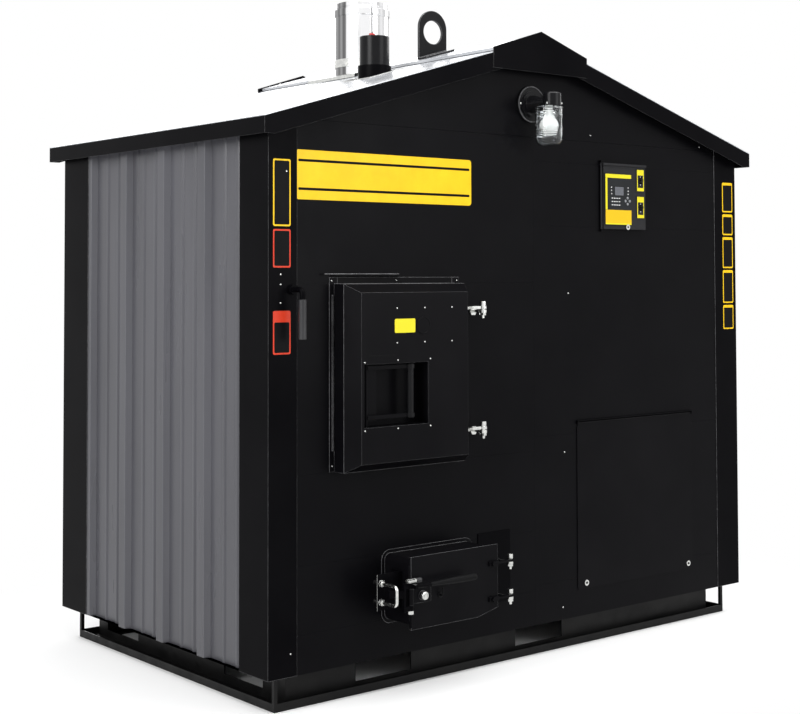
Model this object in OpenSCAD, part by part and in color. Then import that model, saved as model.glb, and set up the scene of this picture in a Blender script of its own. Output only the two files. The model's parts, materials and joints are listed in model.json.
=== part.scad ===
// Pellet furnace in a free-standing steel cabinet.
// Frame: +X to the right along the front, +Y to the back, +Z up.
// The origin is the middle of the base frame's underside.

/* [Cabinet] */
// Width over the corner trims
shell_w = 2160; // [2100:10:2300]
// Depth over the corner trims
shell_d = 1330; // [1300:10:1450]
// Height of the cabinet's lower edge
shell_bottom = 108; // [95:1:125]
// Height of the roof sheet's top at its eave edge
eave_z = 1762; // [1750:1:1850]
// Rise of the roof for each millimetre across
roof_rise = 0.3; // [0.25:0.01:0.35]
// Overhang of the roof at the sides
roof_hang_x = 40; // [30:1:80]
// Overhang of the roof at the front and back
roof_hang_y = 41; // [30:1:80]
// Thickness of the wall and roof sheets
sheet_t = 3; // [2:0.5:4]
// Front width of the left corner trims
trim_left_w = 103; // [100:1:110]
// Front width of the right corner trims
trim_right_w = 125; // [80:1:140]
// Side width of the front corner trims
trim_front_d = 157; // [120:1:180]
// Side width of the rear corner trims
trim_rear_d = 185; // [120:1:200]

/* [Ribbed side sheets] */
// Distance from one main rib to the next
rib_pitch = 254; // [235:1:270]
// Height of a main rib
rib_h = 19; // [12:1:22]
// Width of a main rib at its foot
rib_w = 62; // [50:1:66]
// Place of the rear edge of the rearmost main rib
rib_start = 257; // [240:1:270]

/* [Base] */
// How far the base frame stands in from the cabinet's sides
frame_inset_x = 49; // [40:1:60]
// How far the base frame stands in from the cabinet's front
frame_inset_y = 41; // [30:1:60]
// Width of the frame's flat leg
frame_leg = 75; // [70:1:100]
// Thickness of the frame's steel
frame_t = 4; // [3:0.5:6]
// Width of a fork opening
fork_w = 222; // [180:1:240]
// Centre of the left fork opening in the front
fork_left_x = -596; // [-620:1:-500]
// Centre of the right fork opening in the front
fork_right_x = 82; // [0:1:120]
// Centre of the front fork opening in the ends
fork_near_y = -360; // [-380:1:-300]
// Centre of the rear fork opening in the ends
fork_far_y = 418; // [300:1:430]

/* [Roof pieces] */
// Width of the ridge cap
cap_w = 400; // [360:1:440]
// Width of the gable plates
gable_plate_w = 440; // [400:1:480]
// Width of the lifting lug
lug_w = 130; // [120:1:150]
// Radius of the hole in the lifting lug
lug_hole_r = 42; // [30:1:45]
// Height of the lifting lug's top over the ridge sheet
lug_top = 145; // [140:1:180]

/* [Chimney and vent] */
// Place of the chimney across the roof
chimney_x = -135; // [-150:1:-125]
// Place of the chimney front to back
chimney_y = 125; // [80:1:160]
// Outer radius of the insulated chimney
chimney_r = 101.5; // [95:0.5:108]
// Radius of the chimney's flue
flue_r = 76; // [60:1:84]
// Height of the chimney's top
chimney_top = 2314; // [2290:1:2600]
// Place of the vent pipe across the roof
vent_x = -357; // [-380:1:-330]
// Place of the vent pipe front to back
vent_y = -240; // [-260:1:-220]
// Outer radius of the vent pipe
vent_r = 52; // [44:1:54]
// Height of the vent pipe's top
vent_top = 2124; // [2080:1:2180]
// Length of float rod that shows over the vent pipe
float_rod_show = 124; // [100:1:160]

/* [Fire door] */
// Centre of the fire door across the front
fire_x = -600; // [-620:1:-590]
// Centre height of the fire door
fire_z = 981; // [970:1:1000]
// Width of the fire door at its back
fire_w = 482; // [460:1:490]
// Height of the fire door at its back
fire_h = 568; // [540:1:590]
// Thickness of the fire door's casing
fire_t = 50; // [46:1:60]
// Slope of the casing's edges, measured across
bevel_x = 29; // [20:1:32]
// Stand-off of the door frame's rim from the cabinet's face
fire_rim = 50; // [45:1:60]
// Depth of the refractory plug inside the frame
plug_depth = 60; // [50:1:66]
// Width of the handle pocket
pocket_w = 251; // [246:1:252]
// Height of the handle pocket
pocket_h = 191; // [186:1:200]
// Depth of the handle pocket
pocket_d = 65; // [63:1:70]
// Height of the upper hinge over the door's centre
fire_hinge_up = 199; // [180:1:215]
// Height of the lower hinge under the door's centre
fire_hinge_down = 191; // [160:1:200]

/* [Ash door] */
// Centre of the ash door across the front
ash_x = -474; // [-480:1:-470]
// Centre height of the ash door
ash_z = 325; // [320:1:330]
// Width of the ash door
ash_w = 356; // [340:1:360]
// Height of the ash door
ash_h = 220; // [216:1:224]
// Thickness of the ash door's plate
ash_t = 10; // [8:1:14]
// Stand-off of the ash door's face from the cabinet's face
ash_off = 135; // [125:1:145]
// Depth of the ash door's inner plug
ash_plug = 45; // [30:1:48]

/* [Access hatch] */
// Left edge of the access hatch
hatch_x0 = 203; // [190:1:230]
// Right edge of the access hatch
hatch_x1 = 808; // [780:1:820]
// Lower edge of the access hatch
hatch_z0 = 200; // [180:1:215]
// Upper edge of the access hatch
hatch_z1 = 775; // [740:1:790]

/* [Controls] */
// Left edge of the control panel
control_x0 = 333; // [330:1:340]
// Width of the control panel
control_w = 219; // [216:1:226]
// Lower edge of the control panel
control_z0 = 1455; // [1440:1:1470]
// Height of the control panel
control_h = 235; // [230:1:245]
// Stand-off of the control panel's face
control_t = 12; // [10:1:16]
// Distance of the lever's shaft from the cabinet's left side
lever_in = 85; // [82:1:86]
// Height of the lever's shaft
lever_z = 1250; // [1200:1:1300]
// Length of the lever from its shaft to its tip
lever_len = 147; // [140:1:150]

/* [Lamp] */
// Place of the lamp across the front
lamp_x = -12; // [-30:1:30]
// Height of the lamp's wall plate
lamp_z = 1874; // [1865:1:1890]
// Radius of the glass jar
jar_r = 49; // [46:1:56]
// Distance of the jar's axis from the wall
lamp_reach = 104; // [98:1:120]

/* [Boiler] */
// Left side of the boiler
boiler_x0 = -980; // [-990:1:-970]
// Right side of the boiler
boiler_x1 = -20; // [-22:1:0]
// Distance of the boiler's front plate behind the front sheet
boiler_gap = 120; // [110:1:130]
// Depth of the boiler
boiler_d = 1020; // [960:1:1050]
// Height of the boiler's floor
boiler_z0 = 150; // [140:1:160]
// Height of the boiler's top
boiler_z1 = 1560; // [1520:1:1580]
// Thickness of the boiler's steel
boiler_t = 8; // [6:1:10]
// Height of the firebox floor
firebox_z0 = 560; // [540:1:570]
// Height of the firebox roof
firebox_z1 = 1330; // [1300:1:1340]
// Depth of the firebox
firebox_d = 780; // [740:1:800]

/* [Fuel feed] */
// Radius of the auger's flights
auger_r = 40; // [35:1:42]
// Height of the auger's axis
auger_z = 660; // [650:1:670]
// Distance from one flight to the next
auger_pitch = 90; // [70:1:110]
// Height of the hopper's rim
hopper_top = 1640; // [1600:1:1660]
// Side of the square filling opening in the roof
fill_w = 420; // [380:1:440]
// Centre of the filling opening across the roof
fill_x = 560; // [540:1:600]
// Centre of the filling opening front to back
fill_y = 60; // [0:1:100]
// Radius of the blower wheel
wheel_r = 100; // [80:1:110]

/* [Hidden] */
$fn = 48;

// Sizes that stay as they are
small_rib_h = 4;
post_w = 12;
fork_z = 30;
eave_fascia = 54;
rake_fascia = 65;
gable_plate_drop = 119;
lug_t = 8;
frame_face = 25;
plinth_inset_x = 61;
plinth_inset_y = 31;
ash_hinge_half = 56;
trim_t = 2;
cap_lift = 12;
bevel_z = 26;
pocket_dz = -53.5;
pocket_dx = -76.5;
fire_hinge_gap = 79;
ash_hinge_gap = 63;
hatch_lap = 34;
pot_half = 78;
tube_r = 30;
lamp_plate_r = 62.5;

// Clearances: seats, running fits, swinging parts
seat = 0.3;
run = 0.05;
free = 1;

// Outer faces of the cabinet and its sheets
side_x = shell_w / 2;
front_y = -shell_d / 2;
back_y = shell_d / 2;
skin_y = front_y + trim_t;
skin_in = skin_y + sheet_t;
lever_x = lever_in - side_x;
eave_x = side_x + roof_hang_x;
eave_y = shell_d / 2 + roof_hang_y;
function roof_z(x) = eave_z + roof_rise * (eave_x - abs(x));
function cap_z(x) = roof_z(x) + cap_lift;
ridge_z = roof_z(0);
seam_z = eave_z + 1;

// Ribbed sheets
crest_x = side_x - trim_t;
rib_base_x = crest_x - rib_h;
rib_t = 2;
rib_flank = 11;
small_rib_w = 22;
small_rib_flank = 7;
under_trim = 31;
rib_y0 = front_y + trim_front_d - under_trim;
rib_y1 = back_y - trim_rear_d + under_trim;
frame_tube = 38;
tube_wall = 3;
rafter_h = 30;
ridge_beam_half = 18;
ridge_beam_h = 50;
ridge_beam_low = 12;
wall_in_x = rib_base_x - rib_t;

// Base
frame_x = side_x - frame_inset_x;
frame_y = shell_d / 2 - frame_inset_y;
plinth_x = frame_x - plinth_inset_x;
plinth_y = frame_y - plinth_inset_y;
pan_t = 4;
anchor_x = frame_x - 31;
anchor_y = frame_y - 26;
anchor_r = 7;
pan_top = shell_bottom + pan_t;
strap_w = 60;

// Fire door
fire_rim_y = front_y - fire_rim;
fire_face_y = fire_rim_y - fire_t;
fire_x0 = fire_x - fire_w / 2;
fire_x1 = fire_x + fire_w / 2;
fire_z0 = fire_z - fire_h / 2;
fire_z1 = fire_z + fire_h / 2;
casing_t = 3;
collar_t = 6;
collar_lip = 12;
lip_t = 5;
flange_w = 18;
flange_top = 20;
drip_z = fire_z1 + 25;
drip_x0 = fire_x0 - 8;
drip_x1 = fire_x + 12;
drip_d = 14;
plug_gap = 8;
gasket_t = 8;
gasket_y = fire_rim_y - gasket_t;
boiler_y0 = skin_in + boiler_gap;
fire_pin_x = fire_x1 + fire_hinge_gap;
fire_pin_y = fire_rim_y;
fire_pin_r = 6;
eye_r = 13;
eye_h = 10;
arm_half = 4;
pocket_x0 = fire_x + pocket_dx - pocket_w / 2;
pocket_x1 = fire_x + pocket_dx + pocket_w / 2;
pocket_z0 = fire_z + pocket_dz - pocket_h / 2;
pocket_z1 = fire_z + pocket_dz + pocket_h / 2;
pocket_t = 2;
pocket_y = fire_face_y + pocket_d;
latch_x = pocket_x0 + 25;
latch_y = fire_face_y + 25;
latch_pin_r = 5;
latch_mid_z = (pocket_z0 + pocket_z1) / 2;
grip_x = pocket_x1 - 59;
grip_y = latch_y - 5;
nose_h = 60;
fire_open_x0 = fire_x0 - 1 + collar_lip;
nose_reach = latch_x - fire_open_x0 - free;
nose_root = 2;
nose_room = 8;

// Ash door
ash_face_y = front_y - ash_off;
ash_back_y = ash_face_y + ash_t;
ash_seal = 2.7;
ash_rim_y = ash_back_y + ash_seal;
ash_x0 = ash_x - ash_w / 2;
ash_x1 = ash_x + ash_w / 2;
ash_z0 = ash_z - ash_h / 2;
ash_z1 = ash_z + ash_h / 2;
ash_lap_x = 3;
ash_lap_z = 9;
ash_corner_r = 20;
ash_pin_x = ash_x1 + ash_hinge_gap;
ash_pin_y = ash_back_y;
ash_pin_r = 5;
ash_eye_r = 10;
ash_eye_h = 7;
bolt_z0 = ash_z - 22;
bolt_z1 = ash_z + 35;
bolt_x = ash_x0 - 79;
bolt_r = 5;
keeper_y = ash_face_y + 45;
keeper_t = 5;
ash_latch_x = ash_x0 - 11;
ash_latch_y = ash_face_y - 12;
strap_t = 6;
knuckle_r = 9;
catch_z0 = ash_z - 6;
catch_z1 = ash_z + 16;
knuckle_z0 = ash_z - 30;
knuckle_z1 = ash_z + 20;
catch_reach = ash_latch_x - bolt_x - bolt_r - free;

// Access hatch
hatch_back = skin_y - seat;
hatch_y = hatch_back - sheet_t;
hatch_pin_y = hatch_back - 2.5;
hatch_pin_z = hatch_z1 + 2.5;
hatch_barrel_r = 2.5;
hatch_pin_r = 1.5;
hatch_lock_x = [hatch_x0 + 38, hatch_x1 - 28];
hatch_lock_z = hatch_z0 + 20;
lock_r = 10;
stud_r = 3.5;

// Control panel
control_x1 = control_x0 + control_w;
control_z1 = control_z0 + control_h;
control_y = front_y - control_t;
control_pin_x = control_x0 - 4;
control_pin_y = front_y - 4;
keypad_x0 = control_x0 + 4;
keypad_w = 137;
keypad_z0 = control_z0 + 15;
keypad_h = 183;
keypad_t = 4;
pad_x = keypad_x0 + 116;
pad_z = keypad_z0 + 87;
key_step = 11;
key_r = 4.5;
switch_x = control_x1 - 28;
switch_up_z = control_z0 + 179;
switch_low_z = control_z0 + 81;
switch_pin_y = control_y + 6;
lock_x = pad_x;
lock_z = control_z0 + 8;

// Lamp
lamp_y = skin_y - lamp_reach;
jar_x = lamp_x - 3;
jar_y = lamp_y + 9;
cup_x = lamp_x + 3;
jar_shift = norm([cup_x - jar_x, jar_y - lamp_y]);
cup_r = 31.5;
cup_t = 3;
cup_edge = 4;
cup_z0 = lamp_z - 14;
cup_z1 = lamp_z + 31;
jar_z0 = lamp_z - 149;

// Boiler
boiler_y1 = boiler_y0 + boiler_d;
firebox_x0 = fire_x - 280;
firebox_x1 = fire_x + 280;
firebox_y1 = boiler_y0 + firebox_d;
ash_in_x0 = ash_x0 + ash_lap_x + collar_t;
ash_in_x1 = ash_x1 - ash_lap_x + 1 - collar_t;
ash_in_z0 = ash_z0 + ash_lap_z + collar_t;
ash_in_z1 = ash_z1 - ash_lap_z + 1 - collar_t;
ash_chamber_d = 590;
pot_x = ash_x;
pot_y = boiler_y0 + 390;
pot_t = 8;
pot_lip = 24;
pot_deep = 110;
ring_t = 10;
tube_t = 4;
tube_rows = 2;
tube_cols = 4;
tube_step = 120;
smoke_z0 = firebox_z1 + 112;
smoke_y0 = -150;
smoke_y1 = 360;
smoke_x1 = boiler_x1 - 20;

// Fuel feed
auger_y = pot_y;
tube_in = auger_r + 4;
auger_tube_t = 4;
auger_shaft_r = 12;
auger_x0 = pot_x + 20;
auger_x1 = 560;
hopper_x0 = 60;
hopper_x1 = 980;
hopper_y0 = -380;
hopper_y1 = 520;
hopper_t = 4;
hopper_waist = 1050;
chute_half = 30;
blower_x = 400;
blower_gap = 25;
blower_d = 90;
blower_y0 = pot_y - blower_d / 2;
air_r = 28;
air_z = ash_in_z1 + collar_t + air_r + 8;
duct_half = 31;
blower_z = air_z + duct_half - wheel_r - blower_gap;

// A block between two corners
module block(x0, x1, y0, y1, z0, z1) {
  translate([x0, y0, z0]) cube([x1 - x0, y1 - y0, z1 - z0]);
}

// Open seams, one seat wide
module seams(xs, zs, x0, x1, y0, y1, z0, z1) {
  for (x = xs) block(x, x + seat, y0, y1, z0, z1);
  for (z = zs) block(x0, x1, y0, y1, z, z + seat);
}

// Round bars along each axis
module rod_x(x0, x1, y, z, r) {
  translate([x0, y, z]) rotate([0, 90, 0]) cylinder(h = x1 - x0, r = r);
}
module rod_y(y0, y1, x, z, r) {
  translate([x, y1, z]) rotate([90, 0, 0]) cylinder(h = y1 - y0, r = r);
}
module rod_z(z0, z1, x, y, r) {
  translate([x, y, z0]) cylinder(h = z1 - z0, r = r);
}

// Outlines in front, end and top view
module front_prism(y0, y1) {
  translate([0, y1, 0]) rotate([90, 0, 0]) linear_extrude(y1 - y0) children();
}
module side_prism(x0, x1) {
  translate([x0, 0, 0]) rotate([90, 0, 90]) linear_extrude(x1 - x0) children();
}
module top_prism(z0, z1) {
  translate([0, 0, z0]) linear_extrude(z1 - z0) children();
}

// Rectangle with round corners
module round_rect(x0, x1, z0, z1, r) {
  rect(x0, x1, z0 + r, z1 - r);
  rect(x0 + r, x1 - r, z0, z1);
  for (x = [x0 + r, x1 - r], z = [z0 + r, z1 - r]) translate([x, z]) circle(r);
}
module rect(x0, x1, z0, z1) {
  translate([x0, z0]) square([x1 - x0, z1 - z0]);
}

// Both sides of the cabinet, or both ends
module both_x() {
  children();
  mirror([1, 0, 0]) children();
}
module both_y() {
  children();
  mirror([0, 1, 0]) children();
}

// Angle-iron frame with short posts
module base_frame() color("#1b1b1d") {
  difference() {
    block(-frame_x, frame_x, -frame_y, frame_y, 0, frame_face);
    block(-frame_x + frame_t, frame_x - frame_t, -frame_y + frame_t, frame_y - frame_t,
      frame_t, frame_face + 1);
    difference() {
      block(-frame_x + frame_leg, frame_x - frame_leg, -frame_y + frame_leg,
        frame_y - frame_leg, -1, frame_t + 1);
      block(-frame_x, frame_x, -strap_w / 2, strap_w / 2, -2, frame_t + 2);
    }
    both_x() both_y() rod_z(-1, frame_t + 1, anchor_x, anchor_y, anchor_r);
  }
  both_x() both_y() block(frame_x - post_w, frame_x, frame_y - post_w, frame_y, frame_t, shell_bottom);
}

// Plinth walls, notched for lifting forks
module plinth() color("#232326") {
  wall = frame_t;
  difference() {
    block(-plinth_x, plinth_x, -plinth_y, plinth_y, frame_t, shell_bottom);
    block(-plinth_x + wall, plinth_x - wall, -plinth_y + wall, plinth_y - wall, 0, shell_bottom + 1);
    for (x = [fork_left_x, fork_right_x])
      block(x - fork_w / 2, x + fork_w / 2, -frame_y, frame_y, fork_z, shell_bottom + 1);
    for (y = [fork_near_y, fork_far_y])
      block(-frame_x, frame_x, y - fork_w / 2, y + fork_w / 2, fork_z, shell_bottom + 1);
  }
}

// Floor sheet of the cabinet
module floor_pan() color("#2b2b2e") {
  block(-wall_in_x, wall_in_x, skin_in, -skin_in, shell_bottom, pan_top);
}

// Square-tube uprights and rails, with the bearing of the lever's shaft
bearing_half = 18;
module wall_frame() color("#3a3a3d") {
  x1 = wall_in_x;
  x0 = x1 - frame_tube;
  y1 = -skin_in;
  y0 = y1 - frame_tube;
  rail_z = eave_z - 2 - frame_tube;
  difference() {
    union() {
      both_x() both_y() block(x0, x1, y0, y1, pan_top, rail_z);
      both_x() block(x0, x1, -y1, y1, rail_z, rail_z + frame_tube);
      both_y() block(-x0, x0, y0, y1, rail_z, rail_z + frame_tube);
      both_x() both_y() front_prism(y0, y1) intersection() {
        slope_section(ridge_beam_half, side_x, -sheet_v - seat, rafter_h);
        rect(0, x1 - frame_tube / 2, rail_z, ridge_z);
      }
      block(-ridge_beam_half, ridge_beam_half, -y1, y1, ridge_z - ridge_beam_h, ridge_z - ridge_beam_low);
      block(-x0 - 1, lever_x + bearing_half, -y0 - 8, -y0, lever_z - bearing_half, lever_z + bearing_half);
    }
    both_x() both_y() block(x0 + tube_wall, x1 - tube_wall, y0 + tube_wall, y1 - tube_wall,
      pan_top - 1, rail_z - tube_wall);
    both_x() block(x0 + tube_wall, x1 - tube_wall, -y0 + tube_wall, y0 - tube_wall,
      rail_z + tube_wall, rail_z + frame_tube - tube_wall);
    both_y() block(-x0 + tube_wall, x0 - tube_wall, y0 + tube_wall, y1 - tube_wall,
      rail_z + tube_wall, rail_z + frame_tube - tube_wall);
    rod_y(-y1 - 1, -y0 + 1, lever_x, lever_z, lever_shaft_r + run);
  }
}

// Cabinet end: wall and gable
module wall_outline() {
  w = crest_x;
  polygon([[-w, shell_bottom], [w, shell_bottom], [w, seam_z - 0.8], [-w, seam_z - 0.8]]);
}
module gable_outline() {
  w = crest_x;
  drop = sheet_t * sqrt(1 + roof_rise * roof_rise) + seat;
  polygon([[-w, seam_z], [w, seam_z], [w, roof_z(w) - drop], [0, ridge_z - drop], [-w, roof_z(w) - drop]]);
}

// Opening of the access hatch in the front sheet
hatch_open = [hatch_x0 + hatch_lap, hatch_x1 - hatch_lap, hatch_z0 + hatch_lap + 6, hatch_z1 - hatch_lap];
control_lap = 8;
lock_lap = 5;

// Front sheet with its openings, hinge lugs and drip lips
module front_panel() color("#17171a") {
  slot_l = 24;
  slot_w = 9;
  lug_l = 5;
  on_y = skin_y - seat;
  difference() {
    front_prism(skin_y, skin_in) {
      wall_outline();
      gable_outline();
    }
    block(fire_x0 - 1 - seat, fire_x1 + 1 + seat, skin_y - 1, skin_in + 1,
      fire_z0 - 1 - seat, fire_z1 + 1 + seat);
    block(ash_x0 + ash_lap_x - seat, ash_x1 - ash_lap_x + 1 + seat, skin_y - 1, skin_in + 1,
      ash_z0 + ash_lap_z - seat, ash_z1 - ash_lap_z + 1 + seat);
    block(hatch_open[0], hatch_open[1], skin_y - 1, skin_in + 1, hatch_open[2], hatch_open[3]);
    for (x = hatch_lock_x)
      block(x - slot_l / 2, x + slot_l / 2, skin_y - 1, skin_in + 1,
        hatch_lock_z - slot_w / 2, hatch_lock_z + slot_w / 2);
    block(control_x0 + control_lap, control_x1 - control_lap, skin_y - 1, skin_in + 1,
      control_z0 + lock_lap, control_z1 - control_lap);
    rod_y(skin_y - 1, skin_in + 1, lever_x, lever_z, lever_shaft_r + free);
    rod_y(skin_y - 1, skin_in + 1, lock_x, lock_z, stud_r + 2);
    seams([0], [fire_z0 - 1 - seat, fire_z1 + 1, ash_z0 + ash_lap_z - seat, ash_z1 - ash_lap_z + 1],
      -crest_x - 1, seat, skin_y - 1, skin_in + 1, shell_bottom - 1, seam_z - 0.4);
    seams([], [hatch_open[2], hatch_open[3] - seat, control_z0 + lock_lap,
      control_z1 - control_lap - seat],
      0, crest_x + 1, skin_y - 1, skin_in + 1, 0, 0);
  }
  panel_hinge_lugs();
  difference() {
    for (x = [hatch_x0 - 2, hatch_x1 + 2 - lug_l])
      block(x, x + lug_l, hatch_pin_y - 5, on_y, hatch_pin_z - 5, hatch_pin_z + 5);
    rod_x(hatch_x0 - 3, hatch_x1 + 3, hatch_pin_y, hatch_pin_z, hatch_pin_r + run);
  }
  block(hatch_x0 - 2, hatch_x1 + 2, hatch_pin_y - 7, on_y, hatch_pin_z + 5 + seat, hatch_pin_z + 7);
  block(drip_x0, drip_x1, skin_y - drip_d, on_y, drip_z, drip_z + trim_t);
}

// Lugs that hold the hinge of the control panel
module panel_hinge_lugs() {
  lug = 8;
  difference() {
    for (z = [control_z0 - 1 - lug, control_z1 + 1])
      block(control_pin_x - 4, control_pin_x + 5, control_pin_y - 4, skin_y - seat, z, z + lug);
    rod_z(control_z0 - 20, control_z1 + 20, control_pin_x, control_pin_y, hatch_pin_r + run);
  }
}

// Rear sheet
port_x = [-760, -240];
port_z = [1420, 420];
port_r = 24;
port_bore_r = 15;
gland_x = 500;
gland_z = 420;
gland_r = 14;
module rear_panel() color("#17171a") {
  difference() {
    front_prism(-skin_in, -skin_y) {
      wall_outline();
      gable_outline();
    }
    for (i = [0, 1]) rod_y(-skin_in - 1, -skin_y + 1, port_x[i], port_z[i], port_r + seat);
    rod_y(-skin_in - 1, -skin_y + 1, gland_x, gland_z, gland_r - 4 + seat);
  }
}

// Ribs of a side sheet: rear edge, width, height and flank
rib_offsets = [0, 0.512, 0.807];
function rib_marks() = [
  for (k = [-2 : 6], part = [0 : 2])
    let (
      y = rib_start - k * rib_pitch - rib_offsets[part] * rib_pitch,
      w = part == 0 ? rib_w : small_rib_w,
      h = part == 0 ? rib_h : small_rib_h,
      f = part == 0 ? rib_flank : small_rib_flank
    )
    [y, w, h, f]
];
function rib_path(x) = concat(
  [[x, back_y + rib_pitch * 2]],
  [for (m = rib_marks(), p = [[0, 0], [m[3], 1], [m[1] - m[3], 1], [m[1], 0]])
    [x + p[1] * m[2], m[0] - p[0]]],
  [[x, front_y - rib_pitch * 3]]
);

// Ribbed side sheets, ending under the trims
module side_panels() color("#6f7074") {
  outer = rib_path(rib_base_x);
  inner = [for (i = [len(outer) - 1 : -1 : 0]) outer[i] - [rib_t, 0]];
  both_x() top_prism(shell_bottom, eave_z + trim_t) intersection() {
    polygon(concat(outer, inner));
    rect(0, side_x, rib_y0, rib_y1);
  }
}

// Folded trims over the four corners
module corner_trims() color("#141416") {
  top = eave_z + 6;
  for (s = [-1, 1]) {
    face = s < 0 ? trim_left_w : trim_right_w;
    mirror([s < 0 ? 1 : 0, 0, 0]) difference() {
      union() {
        block(side_x - face, side_x, front_y, front_y + trim_t, shell_bottom, top);
        block(side_x - trim_t, side_x, front_y, front_y + trim_front_d, shell_bottom, top);
        block(side_x - face, side_x, back_y - trim_t, back_y, shell_bottom, top);
        block(side_x - trim_t, side_x, back_y - trim_rear_d, back_y, shell_bottom, top);
      }
      if (s < 0) rod_y(front_y - 1, front_y + trim_t + 1, -lever_x, lever_z, lever_shaft_r + free);
    }
  }
}

// Sheet section along the right roof slope
module slope_section(x0, x1, lift, thick) {
  polygon([[x0, roof_z(x0) + lift], [x1, roof_z(x1) + lift],
    [x1, roof_z(x1) + lift - thick], [x0, roof_z(x0) + lift - thick]]);
}
sheet_v = sheet_t * sqrt(1 + roof_rise * roof_rise);
trim_v = trim_t * sqrt(1 + roof_rise * roof_rise);

// The two roof sheets
module roof_panels() color("#c9cccf") {
  difference() {
    mirror([1, 0, 0]) front_prism(-eave_y, eave_y) slope_section(1, eave_x, 0, sheet_v);
    rod_z(eave_z, chimney_top, chimney_x, chimney_y, chimney_r + 2);
    rod_z(eave_z, chimney_top, vent_x, vent_y, vent_r + 2);
  }
  difference() {
    front_prism(-eave_y, eave_y) slope_section(1, eave_x, 0, sheet_v);
    block(fill_x - fill_w / 2, fill_x + fill_w / 2, fill_y - fill_w / 2, fill_y + fill_w / 2,
      eave_z - 10, ridge_z);
  }
}

// Fascias and the plates over the ridge's ends
module roof_trims() color("#141416") {
  low = eave_z - eave_fascia;
  half = gable_plate_w / 2;
  lift = cap_lift + 4;
  both_x() {
    block(eave_x - trim_t, eave_x, -eave_y + trim_t, eave_y - trim_t, low, eave_z - sheet_v);
    both_y() front_prism(-eave_y, -eave_y + trim_t) intersection() {
      slope_section(0, eave_x, -sheet_v, rake_fascia - sheet_v);
      rect(0, eave_x, low, ridge_z);
    }
  }
  both_y() front_prism(-eave_y - sheet_t, -eave_y) polygon([
    [-half, ridge_z - gable_plate_drop], [half, ridge_z - gable_plate_drop],
    [half, roof_z(half) + lift], [0, ridge_z + lift + 6], [-half, roof_z(half) + lift]
  ]);
}

// Folded cap over the ridge
module ridge_cap() color("#8d9094") {
  half = cap_w / 2;
  difference() {
    both_x() front_prism(-eave_y, eave_y) {
      slope_section(0, half, cap_lift, trim_v);
      rect(half - trim_t, half, roof_z(half) + trim_t, roof_z(half) + cap_lift);
    }
    rod_z(eave_z, chimney_top, chimney_x, chimney_y, chimney_r + 2);
  }
}

// Lifting lug with its foot on the ridge cap
lug_x = -104;
lug_y = -256;
lug_foot = 44;
lug_foot_t = 8;
lug_hole_drop = 13;
module lifting_lug() color("#1a1a1c") {
  half = lug_w / 2;
  x0 = lug_x - half;
  x1 = lug_x + half;
  arc_z = ridge_z + lug_top - half;
  difference() {
    union() {
      front_prism(lug_y, lug_y + lug_t) {
        polygon([[x0, cap_z(x0) + seat], [x1, cap_z(x1) + seat], [x1, arc_z], [x0, arc_z]]);
        translate([lug_x, arc_z]) circle(half);
      }
      front_prism(lug_y - lug_foot, lug_y + lug_t) polygon([
        [x0, cap_z(x0) + seat], [x1, cap_z(x1) + seat],
        [x1, cap_z(x1) + seat + lug_foot_t], [x0, cap_z(x0) + seat + lug_foot_t]]);
    }
    rod_y(lug_y - 1, lug_y + lug_t + 1, lug_x, arc_z - lug_hole_drop, lug_hole_r);
  }
}

// Insulated chimney with a locking band
band_low = 49;
band_high = 25;
neck_step = 5;
module chimney() color("#cfd2d4") {
  difference() {
    union() {
      rod_z(boiler_z1, chimney_top - band_high, chimney_x, chimney_y, chimney_r);
      rod_z(chimney_top - band_low, chimney_top - band_high, chimney_x, chimney_y, chimney_r + 3);
      rod_z(chimney_top - band_high, chimney_top, chimney_x, chimney_y, chimney_r - neck_step);
    }
    rod_z(boiler_z1 - 1, chimney_top + 1, chimney_x, chimney_y, flue_r);
  }
}

// Flashings of the chimney and the vent pipe
module roof_flashings() color("#26272a") {
  out = chimney_r + 45;
  x0 = chimney_x - out;
  x1 = -4;
  skirt_h = 30;
  vent_out = vent_r + 26;
  difference() {
    union() {
      mirror([1, 0, 0]) front_prism(chimney_y - out, chimney_y + out) {
        slope_section(-x1, -x0, cap_lift + seat + trim_v, trim_v);
        rect(-x0 - trim_t, -x0, roof_z(x0) + trim_t, roof_z(x0) + cap_lift);
      }
      rod_z(cap_z(chimney_x), cap_z(chimney_x) + skirt_h, chimney_x, chimney_y, chimney_r + 4);
    }
    rod_z(eave_z, chimney_top + 1, chimney_x, chimney_y, chimney_r + seat);
    block(x0, eave_x, -eave_y, eave_y, eave_z, roof_z(chimney_x) - 40);
    mirror([1, 0, 0]) front_prism(-eave_y, eave_y) slope_section(0, eave_x, cap_lift + seat, 60);
  }
  mirror([1, 0, 0]) front_prism(chimney_y - out, chimney_y + out)
    rect(-x0 - trim_t, -x0, roof_z(x0) + trim_t, roof_z(x0) + cap_lift + trim_v);
  difference() {
    union() {
      mirror([1, 0, 0]) front_prism(vent_y - vent_out, vent_y + vent_out)
        slope_section(-vent_x - vent_out, -vent_x + vent_out, seat + trim_v, trim_v);
      rod_z(roof_z(vent_x) - 14, roof_z(vent_x) + skirt_h, vent_x, vent_y, vent_r + 6);
    }
    rod_z(eave_z, vent_top + 1, vent_x, vent_y, vent_r + seat);
    mirror([1, 0, 0]) front_prism(-eave_y, eave_y) slope_section(0, eave_x, seat, 60);
  }
  fill_curb();
}

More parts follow.
